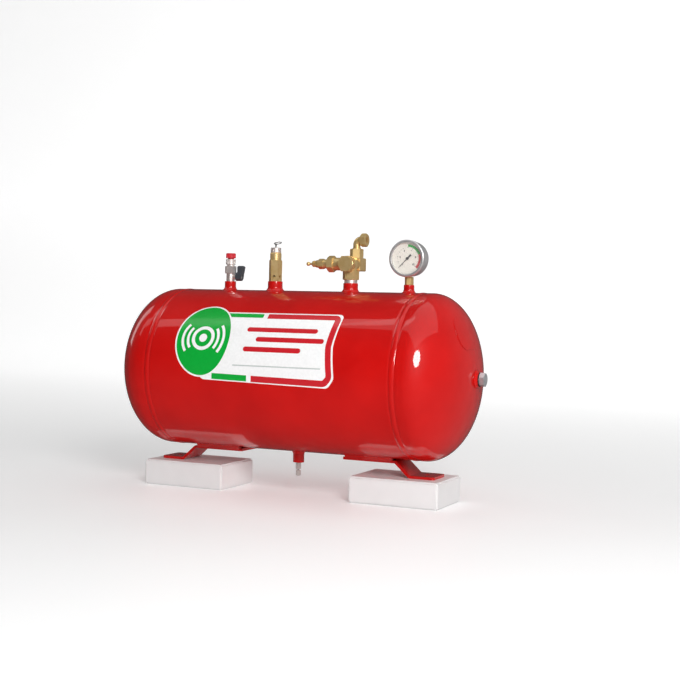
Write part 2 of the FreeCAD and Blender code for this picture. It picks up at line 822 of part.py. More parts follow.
bonnet_floor = safety_body_top - bonnet_thread_length
bonnet_bore = pin_radius + bonnet_bore_gap
groove = safety_body_top + 2.2
bonnet = turned([(bonnet_bore, bonnet_floor), (safety_chamber - thread_gap, bonnet_floor),
                 (safety_chamber - thread_gap, safety_body_top), (bonnet_radius, safety_body_top),
                 (bonnet_radius, groove), (bonnet_radius - 0.7, groove),
                 (bonnet_radius - 0.7, groove + 1.0),
                 (bonnet_radius, groove + 1.0), (bonnet_radius, bonnet_top - 2.4),
                 (bonnet_radius - 1.1, bonnet_top), (bonnet_bore, bonnet_top)], safety)
nodes["safety_bonnet"] = bonnet

cap = turned([(pin_radius + running_gap, bonnet_top), (cap_radius - 0.4, bonnet_top),
              (cap_radius, bonnet_top + 0.6),
              (cap_radius, safety_cap_top - 1.0), (cap_radius - 1.0, safety_cap_top),
              (pin_radius + running_gap, safety_cap_top)], safety)
pockets = []
for step in range(6):
    angle = math.radians(30 + 60 * step)
    inner = V(math.cos(angle), math.sin(angle), 0) * (cap_radius - cap_pocket_depth)
    outer = V(math.cos(angle), math.sin(angle), 0) * (cap_radius + 2)
    middle = on_safety(bonnet_top + cap_height / 2)
    pockets.append(rod(cap_pocket_radius, middle + inner, middle + outer))
nodes["safety_cap"] = cap.cut(Part.makeCompound(pockets))

eye_height = pin_tip - eye_below_tip
eye = on_safety(eye_height)
stem = turned([(0, disc_top), (pin_radius, disc_top), (pin_radius, pin_tip - 0.5),
               (pin_radius - 0.5, pin_tip),
               (0, pin_tip)], safety)
nodes["safety_stem"] = stem.cut(rod(eye_radius, eye - X_AXIS * 5, eye + X_AXIS * 5))

tilt = math.radians(pull_ring_tilt)
ring_direction = V(0, math.cos(tilt), math.sin(tilt))
ring_normal = V(0, -math.sin(tilt), math.cos(tilt))
nodes["safety_ring"] = Part.makeTorus(pull_ring_radius, pull_ring_wire,
                                      eye + ring_direction * pull_ring_radius,
                                      ring_normal)
nodes["safety_spring"] = coil(safety_spring_radius, safety_wire, bonnet_floor - disc_top,
                              safety_spring_turns,
                              on_safety(disc_top), Z_AXIS)


# check valve block

check_face = tank_top + check_rise
block_base = check_face + check_washer_height
block_axis = tank_top + block_axis_rise


def on_block(across, back, height=block_axis):
    return V(check_x + across, back, height)


washer = rod(check_washer_radius, on_block(0, 0, check_face), on_block(0, 0, block_base))
nodes["check_washer"] = washer.cut(rod(check_thread + thread_gap, on_block(0, 0, check_face - 1),
                                       on_block(0, 0, block_base + 1)))

rear_top = block_axis + rear_block_half
rear_block = Part.makeBox(2 * rear_block_half, rear_block_end - rear_block_start, 2 * rear_block_half,
                          V(check_x - rear_block_half, rear_block_start, block_axis - rear_block_half))
rear_block = rear_block.makeChamfer(rear_block_chamfer, rear_block.Edges)
block = joined(
    hex_bar(block_flats, on_block(0, 0, block_base), on_block(0, 0, block_base + block_foot_height), 10),
    rod(block_neck_radius, on_block(0, 0, block_base), on_block(0, 0)),
    rod(check_thread - thread_gap, on_block(0, 0, check_face - thread_depth), on_block(0, 0, block_base)),
    rod(barrel_radius, on_block(0, barrel_front), on_block(0, rear_block_start + 4)),
    rod(barrel_flange_radius, on_block(0, barrel_front),
        on_block(0, barrel_front + barrel_flange_thickness)),
    rod(branch_radius, on_block(-branch_end, 0), on_block(0, 0)),
    rear_block)
cap_inner = barrel_front + cap_spigot
block = block.cut(rod(cap_spigot_radius + thread_gap, on_block(0, barrel_front - 1),
                      on_block(0, cap_inner)))
block = block.cut(rod(chamber_radius, on_block(0, cap_inner - 1), on_block(0, check_seat_y)))
block = block.cut(rod(check_port_radius, on_block(0, check_seat_y - 1), on_block(0, column_y)))
block = block.cut(rod(adapter_thread, on_block(0, column_y, block_axis - 4),
                      on_block(0, column_y, rear_top + 1)))
block = block.cut(rod(check_inlet_radius, on_block(0, 0, check_face - thread_depth - 1), on_block(0, 0)))
pilot_inner = branch_end - pilot_spigot
block = block.cut(rod(pilot_spigot_radius + thread_gap, on_block(-branch_end - 1, 0),
                      on_block(-pilot_inner, 0)))
block = block.cut(rod(pilot_passage, on_block(-pilot_inner - 1, 0), on_block(0, 0)))
nodes["check_body"] = block

cap_back = barrel_front - cap_neck
cap = joined(hex_bar(cap_flats, on_block(0, cap_back), on_block(0, cap_back - cap_hex), 0),
             rod(cap_spigot_radius + cap_shoulder, on_block(0, cap_back), on_block(0, barrel_front)),
             rod(cap_spigot_radius, on_block(0, barrel_front), on_block(0, cap_inner)))
stem_tip = check_seat_y - check_disc_thickness - check_stem_length
cap = cap.cut(rod(check_stem_radius + running_gap, on_block(0, stem_tip - 5.0), on_block(0, cap_inner + 1)))
nodes["check_cap"] = cap

disc_front = check_seat_y - check_disc_thickness
nodes["check_disc"] = joined(rod(check_disc_radius, on_block(0, check_seat_y), on_block(0, disc_front)),
                             rod(check_stem_radius, on_block(0, disc_front), on_block(0, stem_tip)))
nodes["check_spring"] = coil(check_spring_radius, check_wire, disc_front - cap_inner, check_spring_turns,
                             on_block(0, cap_inner), Y_AXIS)


# pilot branch: hex bonnet, sleeve, lock nut and a ball-ended pin that pulls out
def on_branch(distance):
    return on_block(-distance, 0)


bonnet_end = branch_end + pilot_hex
sleeve_end = bonnet_end + sleeve_round + sleeve_hex
sleeve_inner = bonnet_end - sleeve_spigot
locknut_end = sleeve_end + locknut_hex + locknut_collar
bonnet = joined(hex_bar(pilot_flats, on_branch(branch_end), on_branch(bonnet_end), 5),
                rod(pilot_spigot_radius, on_branch(pilot_inner), on_branch(branch_end)))
bonnet = bonnet.cut(rod(pilot_piston_radius + running_gap, on_branch(pilot_inner - 1),
                        on_branch(sleeve_inner)))
bonnet = bonnet.cut(rod(sleeve_spigot_radius + thread_gap, on_branch(sleeve_inner),
                        on_branch(bonnet_end + 1)))
nodes["pilot_bonnet"] = bonnet

sleeve = joined(rod(sleeve_spigot_radius, on_branch(sleeve_inner), on_branch(bonnet_end)),
                rod(sleeve_flats / 2, on_branch(bonnet_end), on_branch(bonnet_end + sleeve_round)),
                hex_bar(sleeve_flats, on_branch(bonnet_end + sleeve_round), on_branch(sleeve_end), 0))
nodes["pilot_sleeve"] = sleeve.cut(rod(pilot_rod_radius + running_gap, on_branch(sleeve_inner - 1),
                                       on_branch(sleeve_end + 1)))

locknut_waist = locknut_radius - 1.4
locknut = joined(hex_bar(locknut_flats, on_branch(sleeve_end), on_branch(sleeve_end + locknut_hex), 0),
                 turned([(0, 0), (locknut_waist, 0), (locknut_waist, 1.4), (locknut_radius, 2.0),
                         (locknut_radius, locknut_collar - 1.6), (locknut_radius - 1.0, locknut_collar),
                         (0, locknut_collar)],
                        on_branch(sleeve_end + locknut_hex), X_AXIS * -1))
nodes["pilot_locknut"] = locknut.cut(rod(pilot_rod_radius + pilot_rod_gap, on_branch(sleeve_end - 1),
                                         on_branch(locknut_end + 1)))

piston_front = pilot_piston_at + pilot_piston_length
nodes["pilot_pin"] = joined(rod(pilot_piston_radius, on_branch(pilot_piston_at), on_branch(piston_front)),
                            rod(pilot_rod_radius, on_branch(piston_front), on_branch(pilot_reach)),
                            Part.makeSphere(pilot_ball, on_branch(pilot_reach)))
nodes["pilot_spring"] = coil(pilot_spring_radius, pilot_wire, sleeve_inner - piston_front,
                             pilot_spring_turns,
                             on_branch(piston_front), X_AXIS * -1)


# inlet column: adapter, elbow and compression nut for the discharge pipe
def on_column(height, across=0.0):
    return V(check_x + across, column_y, height)


adapter_top = rear_top + adapter_height
adapter = joined(hex_bar(adapter_flats, on_column(rear_top), on_column(adapter_top), 20),
                 rod(adapter_thread - thread_gap, on_column(rear_top - adapter_spigot),
                     on_column(rear_top)))
adapter = adapter.cut(rod(elbow_bore, on_column(rear_top - adapter_spigot - 1), on_column(adapter_top)))
adapter = adapter.cut(rod(adapter_socket_radius, on_column(adapter_top - adapter_socket),
                          on_column(adapter_top + 1)))
nodes["column_adapter"] = adapter

elbow_axis = adapter_top + elbow_rise


def swept_round(radius, start, direction, centre, angle):
    """Round bar whose axis turns about Y through centre: start is the middle of its first end."""
    disc = Part.Face(Part.Wire(Part.makeCircle(radius, start, direction)))
    return outward(disc.revolve(centre, Y_AXIS, angle))


def bent_rod(radius, low, reach):
    """Rod up the column, round the bend and out along +X to reach."""
    bend_start = on_column(elbow_axis - elbow_bend)
    quarter = swept_round(radius, bend_start, Z_AXIS, bend_start + X_AXIS * elbow_bend, 90)
    return [rod(radius, on_column(low), bend_start), quarter,
            rod(radius, on_column(elbow_axis, elbow_bend), on_column(elbow_axis, reach))]


thread_end = elbow_nut_start + elbow_thread_length
elbow = joined(*bent_rod(elbow_radius, adapter_top, elbow_nut_start),
               rod(elbow_radius + elbow_collar, on_column(adapter_top),
                   on_column(adapter_top + elbow_collar_height)),
               rod(elbow_spigot_radius, on_column(adapter_top - elbow_spigot), on_column(adapter_top)),
               rod(elbow_thread, on_column(elbow_axis, elbow_nut_start - 0.8),
                   on_column(elbow_axis, thread_end)))
elbow = elbow.cut(joined(*bent_rod(elbow_bore, adapter_top - elbow_spigot - 1, thread_end + 1)))
elbow = elbow.cut(rod(pipe_radius + pipe_gap, on_column(elbow_axis, elbow_nut_start),
                      on_column(elbow_axis, 30)))
nodes["elbow"] = elbow

nut_end = elbow_nut_start + elbow_nut_length
nut = hex_bar(elbow_nut_flats, on_column(elbow_axis, elbow_nut_start), on_column(elbow_axis, nut_end), 10)
nut = nut.cut(rod(elbow_thread + thread_gap, on_column(elbow_axis, 0),
                  on_column(elbow_axis, thread_end + ferrule_length)))
nut = nut.cut(rod(pipe_radius + pipe_gap, on_column(elbow_axis, 0), on_column(elbow_axis, nut_end + 1)))
nodes["elbow_nut"] = nut
ferrule = rod(elbow_thread, on_column(elbow_axis, thread_end),
              on_column(elbow_axis, thread_end + ferrule_length))
nodes["elbow_ferrule"] = ferrule.cut(rod(pipe_radius + pipe_gap, on_column(elbow_axis, 0),
                                         on_column(elbow_axis, nut_end)))


# pressure gauge

gauge_face = tank_top + gauge_rise
gauge_centre = tank_top + gauge_centre_rise
hex_top = gauge_face + gauge_hex


def on_gauge(across, back, height):
    return V(gauge_x + across, back, gauge_centre + height)


block_low = gauge_centre - case_radius + case_wall + 0.8
socket_block = Part.makeBox(socket_width, socket_depth, socket_height,
                            V(gauge_x - socket_width / 2, 0, block_low))
stem = joined(hex_bar(gauge_flats, V(gauge_x, 0, gauge_face), V(gauge_x, 0, hex_top), 16),
              rod(gauge_thread - thread_gap, V(gauge_x, 0, gauge_face - thread_depth + 2),
                  V(gauge_x, 0, gauge_face)),
              rod(gauge_neck_radius, V(gauge_x, 0, hex_top), V(gauge_x, 0, block_low)),
              socket_block)
nodes["gauge_stem"] = stem.cut(rod(gauge_inlet_radius, V(gauge_x, 0, gauge_face - 2 * thread_depth),
                                   V(gauge_x, 0, block_low + 4)))

case = rod(case_radius, on_gauge(0, case_front, 0), on_gauge(0, case_back, 0))
case = case.cut(rod(case_radius - case_wall, on_gauge(0, case_front - 1, 0),
                    on_gauge(0, case_back - case_wall, 0)))
case = case.cut(rod(gauge_neck_radius + thread_gap, V(gauge_x, 0, hex_top - 5), V(gauge_x, 0, block_low)))
nodes["gauge_case"] = case

lens_front = case_front - lens_thickness
bezel_front = lens_front - bezel_step
nodes["gauge_bezel"] = turned([
    (bezel_lip, -bezel_front), (bezel_lip, -lens_front), (case_radius + thread_gap, -lens_front),
    (case_radius + thread_gap, -bezel_back), (bezel_radius, -bezel_back),
    (bezel_radius, -bezel_front - 1.6),
    (bezel_radius - 0.5, -bezel_front - 0.5, bezel_radius - 1.6, -bezel_front)], on_gauge(0, 0, 0),
    Y_AXIS * -1)
nodes["gauge_lens"] = rod(case_radius - 0.1, on_gauge(0, lens_front, 0), on_gauge(0, case_front, 0))

dial_back = dial_front + dial_thickness
dial = rod(dial_radius, on_gauge(0, dial_front, 0), on_gauge(0, dial_back, 0))
nodes["gauge_dial"] = dial.cut(rod(arbor_radius + 0.4, on_gauge(0, dial_front - 1, 0),
                                   on_gauge(0, dial_back + 1, 0)))

# movement: a plate behind the dial on a bracket that stands on the socket block
movement = Part.makeBox(movement_width, movement_depth, movement_height,
                        on_gauge(-movement_width / 2, dial_back, movement_low))
bracket_low = block_low + socket_height
bracket_height = gauge_centre + bracket_top - bracket_low
bracket = Part.makeBox(socket_width, socket_depth - dial_back, bracket_height,
                       V(gauge_x - socket_width / 2, dial_back, bracket_low))
movement = joined(movement, bracket)
nodes["gauge_movement"] = movement.cut(rod(arbor_radius + running_gap, on_gauge(0, dial_back - 1, 0),
                                           on_gauge(0, dial_back + 4, 0)))


def needle(length, half_root, half_tip):
    """Flat tapered arm from the hub in direction +X of its own plane."""
    points = [V(0, 0, -half_root), V(length, 0, -half_tip), V(length, 0, half_tip), V(0, 0, half_root)]
    face = Part.Face(Part.makePolygon(points + points[:1]))
    return outward(face.extrude(V(0, pointer_thickness, 0)))


arm = needle(pointer_length, 0.9, 0.25)
tail = needle(-pointer_tail, 0.7, 2.0)
pointer = joined(arm, tail)
pointer.rotate(V(0, 0, 0), Y_AXIS, -zero_angle)
pointer.translate(on_gauge(0, pointer_front, 0))
pointer_back = pointer_front + pointer_thickness
pointer = joined(pointer,
                 rod(pointer_hub, on_gauge(0, pointer_front - 0.5, 0), on_gauge(0, pointer_back + 0.4, 0)),
                 rod(arbor_radius, on_gauge(0, pointer_back, 0), on_gauge(0, dial_back + 3.5, 0)))
nodes["gauge_pointer"] = pointer

tube = swept_round(tube_radius, on_gauge(0, tube_back, -tube_ring_radius), X_AXIS,
                   on_gauge(0, tube_back, 0), tube_sweep)
tube = tube.cut(Part.makeBox(socket_width, 40, 40, V(gauge_x - socket_width / 2, -10, block_low - 20)))
nodes["gauge_tube"] = outward(tube)


# drain cock

drain_face = foot_clearance - drain_rise
drain = V(drain_x, 0, 0)


def on_drain(height):
    return V(drain_x, 0, height)


body_low = drain_face - drain_body_height
drain_body = joined(rod(drain_thread - thread_gap, on_drain(drain_face + thread_depth),
                        on_drain(drain_face)),
                    turned([(0, drain_face), (drain_radius, drain_face), (drain_radius, body_low + 0.6),
                            (drain_radius - 0.6, body_low), (0, body_low)], drain))
drain_seat = drain_face - drain_seat_depth
drain_body = drain_body.cut(rod(needle_radius + running_gap, on_drain(body_low - 1), on_drain(drain_seat)))
drain_body = drain_body.cut(rod(drain_port, on_drain(drain_seat), on_drain(drain_face + thread_depth + 1)))
outlet_height = drain_seat - 1.5 * drain_port
drain_body = drain_body.cut(rod(drain_port, on_drain(outlet_height), on_drain(outlet_height) + Y_AXIS * 10))
drain_body = fluted(drain_body, drain_radius + 0.5, drain_flutes, 1.0, on_drain(body_low - 1), Z_AXIS,
                    drain_body_height - 0.6)
nodes["drain_body"] = drain_body

knob_top = body_low - drain_gap
knob_low = knob_top - knob_height
needle_low = knob_top - needle_grip
nodes["drain_needle"] = rod(needle_radius, on_drain(needle_low), on_drain(drain_seat))
knob = turned([(0, knob_low), (knob_radius - 1, knob_low), (knob_radius, knob_low + 1),
               (knob_radius, knob_top - 0.8),
               (knob_radius - 0.8, knob_top), (0, knob_top)], drain)
knob = knob.cut(rod(needle_radius + running_gap, on_drain(needle_low), on_drain(knob_top + 1)))
nodes["drain_knob"] = fluted(knob, knob_radius + 0.5, drain_flutes, 1.0, on_drain(knob_low), Z_AXIS,
                             knob_height)


os.makedirs("parts", exist_ok=True)
for name, shape in nodes.items():
    shape.exportStep("parts/" + name + ".step")
    solids = len(shape.Solids)
    print(name, "solids", solids, "volume", round(shape.Volume, 1), "valid", shape.isValid())
print(len(nodes), "nodes")
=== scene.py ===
import bmesh
import bpy
import math
import numpy as np
from mathutils import Matrix, Vector


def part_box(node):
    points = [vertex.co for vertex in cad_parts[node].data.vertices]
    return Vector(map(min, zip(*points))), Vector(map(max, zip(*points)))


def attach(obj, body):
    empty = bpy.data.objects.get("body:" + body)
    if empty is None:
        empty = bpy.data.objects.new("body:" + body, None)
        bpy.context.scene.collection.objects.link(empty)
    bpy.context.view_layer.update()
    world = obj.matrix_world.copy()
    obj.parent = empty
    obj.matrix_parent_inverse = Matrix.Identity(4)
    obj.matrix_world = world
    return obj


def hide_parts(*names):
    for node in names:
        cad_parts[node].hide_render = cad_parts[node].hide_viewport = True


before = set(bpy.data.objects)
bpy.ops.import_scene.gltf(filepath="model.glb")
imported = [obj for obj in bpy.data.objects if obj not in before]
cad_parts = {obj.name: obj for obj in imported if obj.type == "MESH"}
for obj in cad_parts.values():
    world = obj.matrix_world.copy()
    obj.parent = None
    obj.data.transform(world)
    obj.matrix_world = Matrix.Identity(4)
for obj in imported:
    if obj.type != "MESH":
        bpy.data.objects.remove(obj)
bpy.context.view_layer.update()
mm = 0.001
wholeTurn = 2 * math.pi
print("frame loaded:", len(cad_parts), "CAD nodes")


# mesh helpers: every surface is an array of points on a grid
def gridQuads(rows, cols, wrapRows=False, wrapCols=False):
    # the four grid neighbours of each cell, in order round the cell
    r = np.arange(rows if wrapRows else rows - 1)[:, None]
    c = np.arange(cols if wrapCols else cols - 1)[None, :]
    nextR, nextC = (r + 1) % rows, (c + 1) % cols
    cells = [r * cols + c, r * cols + nextC, nextR * cols + nextC, nextR * cols + c]
    return np.stack([np.broadcast_to(cell, (len(r), c.size)).ravel() for cell in cells], axis=1)


def patch(points, wrapRows=False, wrapCols=False, paint=0):
    # a grid of points as one list, the faces between them, and which of the piece's materials they take
    rows, cols = points.shape[:2]
    return points.reshape(-1, 3), gridQuads(rows, cols, wrapRows, wrapCols), paint


def makePiece(name, patches, materials, body, nodes, sharp=38, closed=True, merge=2e-6):
    # patches are joined into one mesh, doubled points merged, and faces turned outwards on a closed skin
    start, points, quads, paints = 0, [], [], []
    for verts, faces, paint in patches:
        points.append(verts)
        quads.append(faces + start)
        paints.append(np.full(len(faces), paint))
        start += len(verts)
    data = bpy.data.meshes.new(name)
    data.from_pydata(np.concatenate(points).tolist(), [], np.concatenate(quads).tolist())
    data.polygons.foreach_set("material_index", np.concatenate(paints).astype(np.int32))
    work = bmesh.new()
    work.from_mesh(data)
    bmesh.ops.remove_doubles(work, verts=work.verts, dist=merge)
    bmesh.ops.dissolve_degenerate(work, dist=merge / 2, edges=work.edges)
    if closed:
        bmesh.ops.recalc_face_normals(work, faces=work.faces)
    work.to_mesh(data)
    work.free()
    data.polygons.foreach_set("use_smooth", np.ones(len(data.polygons), bool))
    data.set_sharp_from_angle(angle=math.radians(sharp))
    for material in materials:
        data.materials.append(material)
    piece = bpy.data.objects.new(name, data)
    bpy.context.scene.collection.objects.link(piece)
    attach(piece, body)
    if nodes:
        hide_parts(*nodes)
    return piece


def roundedLoop(corners, steps=5, closed=True):
    # outline through corners (a, b, radius): each corner becomes an arc tangent to its two sides
    plain = np.array([corner[:2] for corner in corners], float)
    out = []
    for index, (a, b, radius) in enumerate(corners):
        here = plain[index]
        if radius <= 0 or (not closed and index in (0, len(corners) - 1)):
            out.append(here[None, :])
            continue
        back = plain[index - 1] - here
        ahead = plain[(index + 1) % len(corners)] - here
        back, ahead = back / np.linalg.norm(back), ahead / np.linalg.norm(ahead)
        half = math.acos(max(-1.0, min(1.0, float(back @ ahead)))) / 2
        inward = (back + ahead) / np.linalg.norm(back + ahead)
        centre = here + inward * radius / math.sin(half)
        first = here + back * radius / math.tan(half) - centre
        last = here + ahead * radius / math.tan(half) - centre
        sweep = math.pi - 2 * half
        t = np.linspace(0, 1, steps)[:, None]
        out.append(centre + (np.sin((1 - t) * sweep) * first + np.sin(t * sweep) * last) / math.sin(sweep))
    return np.concatenate(out)


def refined(loop, longest):
    # adds points on the long straight runs of a closed outline
    runs = np.roll(loop, -1, axis=0) - loop
    counts = np.maximum(1, np.ceil(np.linalg.norm(runs, axis=1) / longest)).astype(int)
    return np.concatenate([a + run * np.arange(n)[:, None] / n for a, run, n in zip(loop, runs, counts)])


def axisFrame(axis):
    # two directions square to the axis
    along = np.array(axis, float)
    side = np.array((0.0, 0.0, 1.0)) if abs(along[2]) < 0.9 else np.array((1.0, 0.0, 0.0))
    across = np.cross(side, along)
    across /= np.linalg.norm(across)
    return across, np.cross(along, across), along


def turned(profile, origin, axis, steps, wrap=True):
    # surface of revolution in metres: each (radius, height) of the profile goes round the axis;
    # wrap joins the profile's last point to its first
    across, other, along = axisFrame(axis)
    theta = np.linspace(0, wholeTurn, steps, endpoint=False)[:, None]
    radius = profile[None, :, 0]
    height = profile[None, :, 1]
    points = (np.array(origin) + (radius * np.cos(theta))[..., None] * across
              + (radius * np.sin(theta))[..., None] * other + height[..., None] * along)
    return patch(points, wrapRows=True, wrapCols=wrap)


# material helpers
def newMaterial(name):
    material = bpy.data.materials.new(name)
    material.use_nodes = True
    nodes = material.node_tree.nodes
    nodes.clear()
    shader = nodes.new("ShaderNodeBsdfPrincipled")
    output = nodes.new("ShaderNodeOutputMaterial")
    material.node_tree.links.new(shader.outputs[0], output.inputs[0])
    return material, shader


def link(material, source, target):
    material.node_tree.links.new(source, target)


def objectPoint(material, scale=(1, 1, 1)):
    # a place on the piece in metres, stretched by scale
    coord = material.node_tree.nodes.new("ShaderNodeTexCoord")
    mapping = material.node_tree.nodes.new("ShaderNodeMapping")
    mapping.inputs["Scale"].default_value = scale
    link(material, coord.outputs["Object"], mapping.inputs["Vector"])
    return mapping.outputs["Vector"]


def noise(material, scale, detail=3.0, stretch=(1, 1, 1), roughness=0.5):
    node = material.node_tree.nodes.new("ShaderNodeTexNoise")
    node.inputs["Scale"].default_value = scale
    node.inputs["Detail"].default_value = detail
    node.inputs["Roughness"].default_value = roughness
    link(material, objectPoint(material, stretch), node.inputs["Vector"])
    return node.outputs["Fac"]


def ramp(material, value, stops):
    node = material.node_tree.nodes.new("ShaderNodeValToRGB")
    elements = node.color_ramp.elements
    while len(elements) < len(stops):
        elements.new(0.5)
    for element, (place, colour) in zip(elements, stops):
        element.position = place
        element.color = (*colour, 1.0) if len(colour) == 3 else colour
    link(material, value, node.inputs["Fac"])
    return node.outputs["Color"]


def spread(material, value, low, high, fromLow=0.35, fromHigh=0.65):
    node = material.node_tree.nodes.new("ShaderNodeMapRange")
    node.inputs["From Min"].default_value = fromLow
    node.inputs["From Max"].default_value = fromHigh
    node.inputs["To Min"].default_value = low
    node.inputs["To Max"].default_value = high
    link(material, value, node.inputs["Value"])
    return node.outputs["Result"]


def bump(material, shader, value, strength, distance, before=None):
    node = material.node_tree.nodes.new("ShaderNodeBump")
    node.inputs["Strength"].default_value = strength
    node.inputs["Distance"].default_value = distance
    link(material, value, node.inputs["Height"])
    if before is not None:
        link(material, before, node.inputs["Normal"])
    link(material, node.outputs["Normal"], shader.inputs["Normal"])
    return node.outputs["Normal"]


def srgb(red, green, blue):
    # display values 0 to 255 to scene light: a straight start, then a power curve
    def one(value):
        share = value / 255
        return share / 12.92 if share <= 0.04045 else ((share + 0.055) / 1.055) ** 2.4
    return one(red), one(green), one(blue)


paintLook = {
    "light": srgb(206, 12, 8), "deep": srgb(190, 6, 4), "driftScale": 9.0,
    "roughness": (0.37, 0.48), "specular": 0.12, "coatRoughness": 0.045, "coatIor": 1.5,
    "peelScale": 190.0, "peelStrength": 0.10, "peelHeight": 0.00003,
    "rippleScale": 14.0, "rippleStrength": 0.16, "rippleHeight": 0.0012,
}


def makePaint(name):
    # glossy red enamel: slow colour drift, fine orange peel and a clear wet top
    look = paintLook
    material, shader = newMaterial(name)
    drift = ramp(material, noise(material, look["driftScale"]), [(0.3, look["deep"]), (0.7, look["light"])])
    link(material, drift, shader.inputs["Base Color"])
    haze = noise(material, 40.0)
    link(material, spread(material, haze, *look["roughness"]), shader.inputs["Roughness"])
    shader.inputs["Specular IOR Level"].default_value = look["specular"]
    shader.inputs["Coat Weight"].default_value = 1.0
    shader.inputs["Coat Roughness"].default_value = look["coatRoughness"]
    shader.inputs["Coat IOR"].default_value = look["coatIor"]
    fine = noise(material, look["peelScale"], 2.0)
    peel = bump(material, shader, fine, look["peelStrength"], look["peelHeight"])
    broad = noise(material, look["rippleScale"], 1.0)
    ripple = bump(material, shader, broad, look["rippleStrength"], look["rippleHeight"], peel)
    link(material, ripple, shader.inputs["Coat Normal"])
    return material


def makeMetal(name, light, dark, roughness, grain=900.0, stretch=(1, 1, 1), height=0.00002, metallic=0.8):
    # plated or machined metal: cloudy tone, roughness that varies a little, and fine tool marks
    material, shader = newMaterial(name)
    cloud = noise(material, 55.0, 2.0)
    link(material, ramp(material, cloud, [(0.25, dark), (0.6, light)]), shader.inputs["Base Color"])
    shader.inputs["Metallic"].default_value = metallic
    haze = noise(material, 260.0, 3.0)
    link(material, spread(material, haze, roughness * 0.96, roughness * 1.06), shader.inputs["Roughness"])
    bump(material, shader, noise(material, grain, 2.0, stretch), 0.06, height)
    return material


def makePlastic(name, colour, roughness, coat=0.0):
    # moulded plastic: fine spark-eroded grain, colour a little uneven
    material, shader = newMaterial(name)
    darker = tuple(channel * 0.78 for channel in colour)
    cloud = noise(material, 120.0)
    link(material, ramp(material, cloud, [(0.3, darker), (0.7, colour)]), shader.inputs["Base Color"])
    haze = noise(material, 300.0)
    link(material, spread(material, haze, roughness * 0.85, roughness * 1.2), shader.inputs["Roughness"])
    shader.inputs["Coat Weight"].default_value = coat
    bump(material, shader, noise(material, 1400.0, 1.0), 0.25, 0.00004)
    return material


def makeGlass(name):
    # clear pane: mostly lets light through, with a hard gloss
    material, shader = newMaterial(name)
    shader.inputs["Base Color"].default_value = (1.0, 1.0, 1.0, 1.0)
    shader.inputs["Roughness"].default_value = 0.02
    shader.inputs["Coat Weight"].default_value = 1.0
    link(material, spread(material, noise(material, 30.0), 0.05, 0.07), shader.inputs["Alpha"])
    return material


def makeInk(name, colour, roughness=0.22):
    # gloss vinyl print: faint mottling under a clear film
    material, shader = newMaterial(name)
    darker = tuple(channel * 0.93 for channel in colour)
    mottle = noise(material, 220.0)
    link(material, ramp(material, mottle, [(0.3, darker), (0.7, colour)]), shader.inputs["Base Color"])
    haze = noise(material, 90.0)
    link(material, spread(material, haze, roughness * 0.9, roughness * 1.15), shader.inputs["Roughness"])
    shader.inputs["Coat Weight"].default_value = 0.4
    shader.inputs["Coat Roughness"].default_value = 0.1
    bump(material, shader, noise(material, 30.0, 1.0), 0.03, 0.0002)
    return material


finishes = {
    "tank_paint": makePaint("tank_paint_red"),
    "nickel_plate": makeMetal("nickel_plate_warm", srgb(246, 238, 234), srgb(234, 224, 218), 0.42),
    "brass": makeMetal("brass_machined", srgb(240, 210, 148), srgb(226, 188, 118), 0.36, grain=1100.0,
                       stretch=(1, 1, 0.15), height=0.00003, metallic=0.7),
    "zinc_plate": makeMetal("zinc_plate_bright", srgb(238, 240, 242), srgb(216, 218, 222), 0.34),
    "steel": makeMetal("steel_turned", srgb(214, 214, 212), srgb(178, 178, 176), 0.2),
    "ball_chrome": makeMetal("ball_chrome", srgb(240, 240, 240), srgb(225, 225, 226), 0.06),
    "ring_steel": makeMetal("ring_steel", srgb(120, 116, 110), srgb(84, 80, 76), 0.22),
    "spring_steel": makeMetal("spring_steel", srgb(190, 188, 184), srgb(150, 148, 144), 0.25),
    "gauge_case": makeMetal("gauge_chrome", srgb(244, 242, 242), srgb(230, 228, 230), 0.34, grain=500.0),
    "handle_plastic": makePlastic("handle_slate", srgb(72, 78, 84), 0.38),
    "release_plastic": makePlastic("release_red", srgb(216, 40, 54), 0.36, coat=0.2),
    "seal_ring": makePlastic("seal_ring_black", srgb(34, 33, 33), 0.5),
    "seat_plastic": makePlastic("seat_white", srgb(232, 230, 224), 0.4),
    "gauge_glass": makeGlass("gauge_glass_clear"),
    "dial_face": makeInk("dial_white", srgb(240, 235, 224), 0.45),
    "pointer_paint": makePlastic("pointer_black", srgb(28, 28, 30), 0.4),
    "label_print": makeInk("label_white", srgb(252, 252, 252)),
}
inks = {
    "red": makeInk("label_red", srgb(206, 34, 44)),
    "green": makeInk("label_green", srgb(8, 172, 58)),
    "grey": makeInk("label_grey", srgb(196, 202, 200)),
    "black": makeInk("dial_black", srgb(18, 18, 20), 0.45),
}
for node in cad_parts.values():
    for place, material in enumerate(node.data.materials):
        node.data.materials[place] = finishes[material.name.split(".")[0]]
print("materials made:", len(finishes) + len(inks))


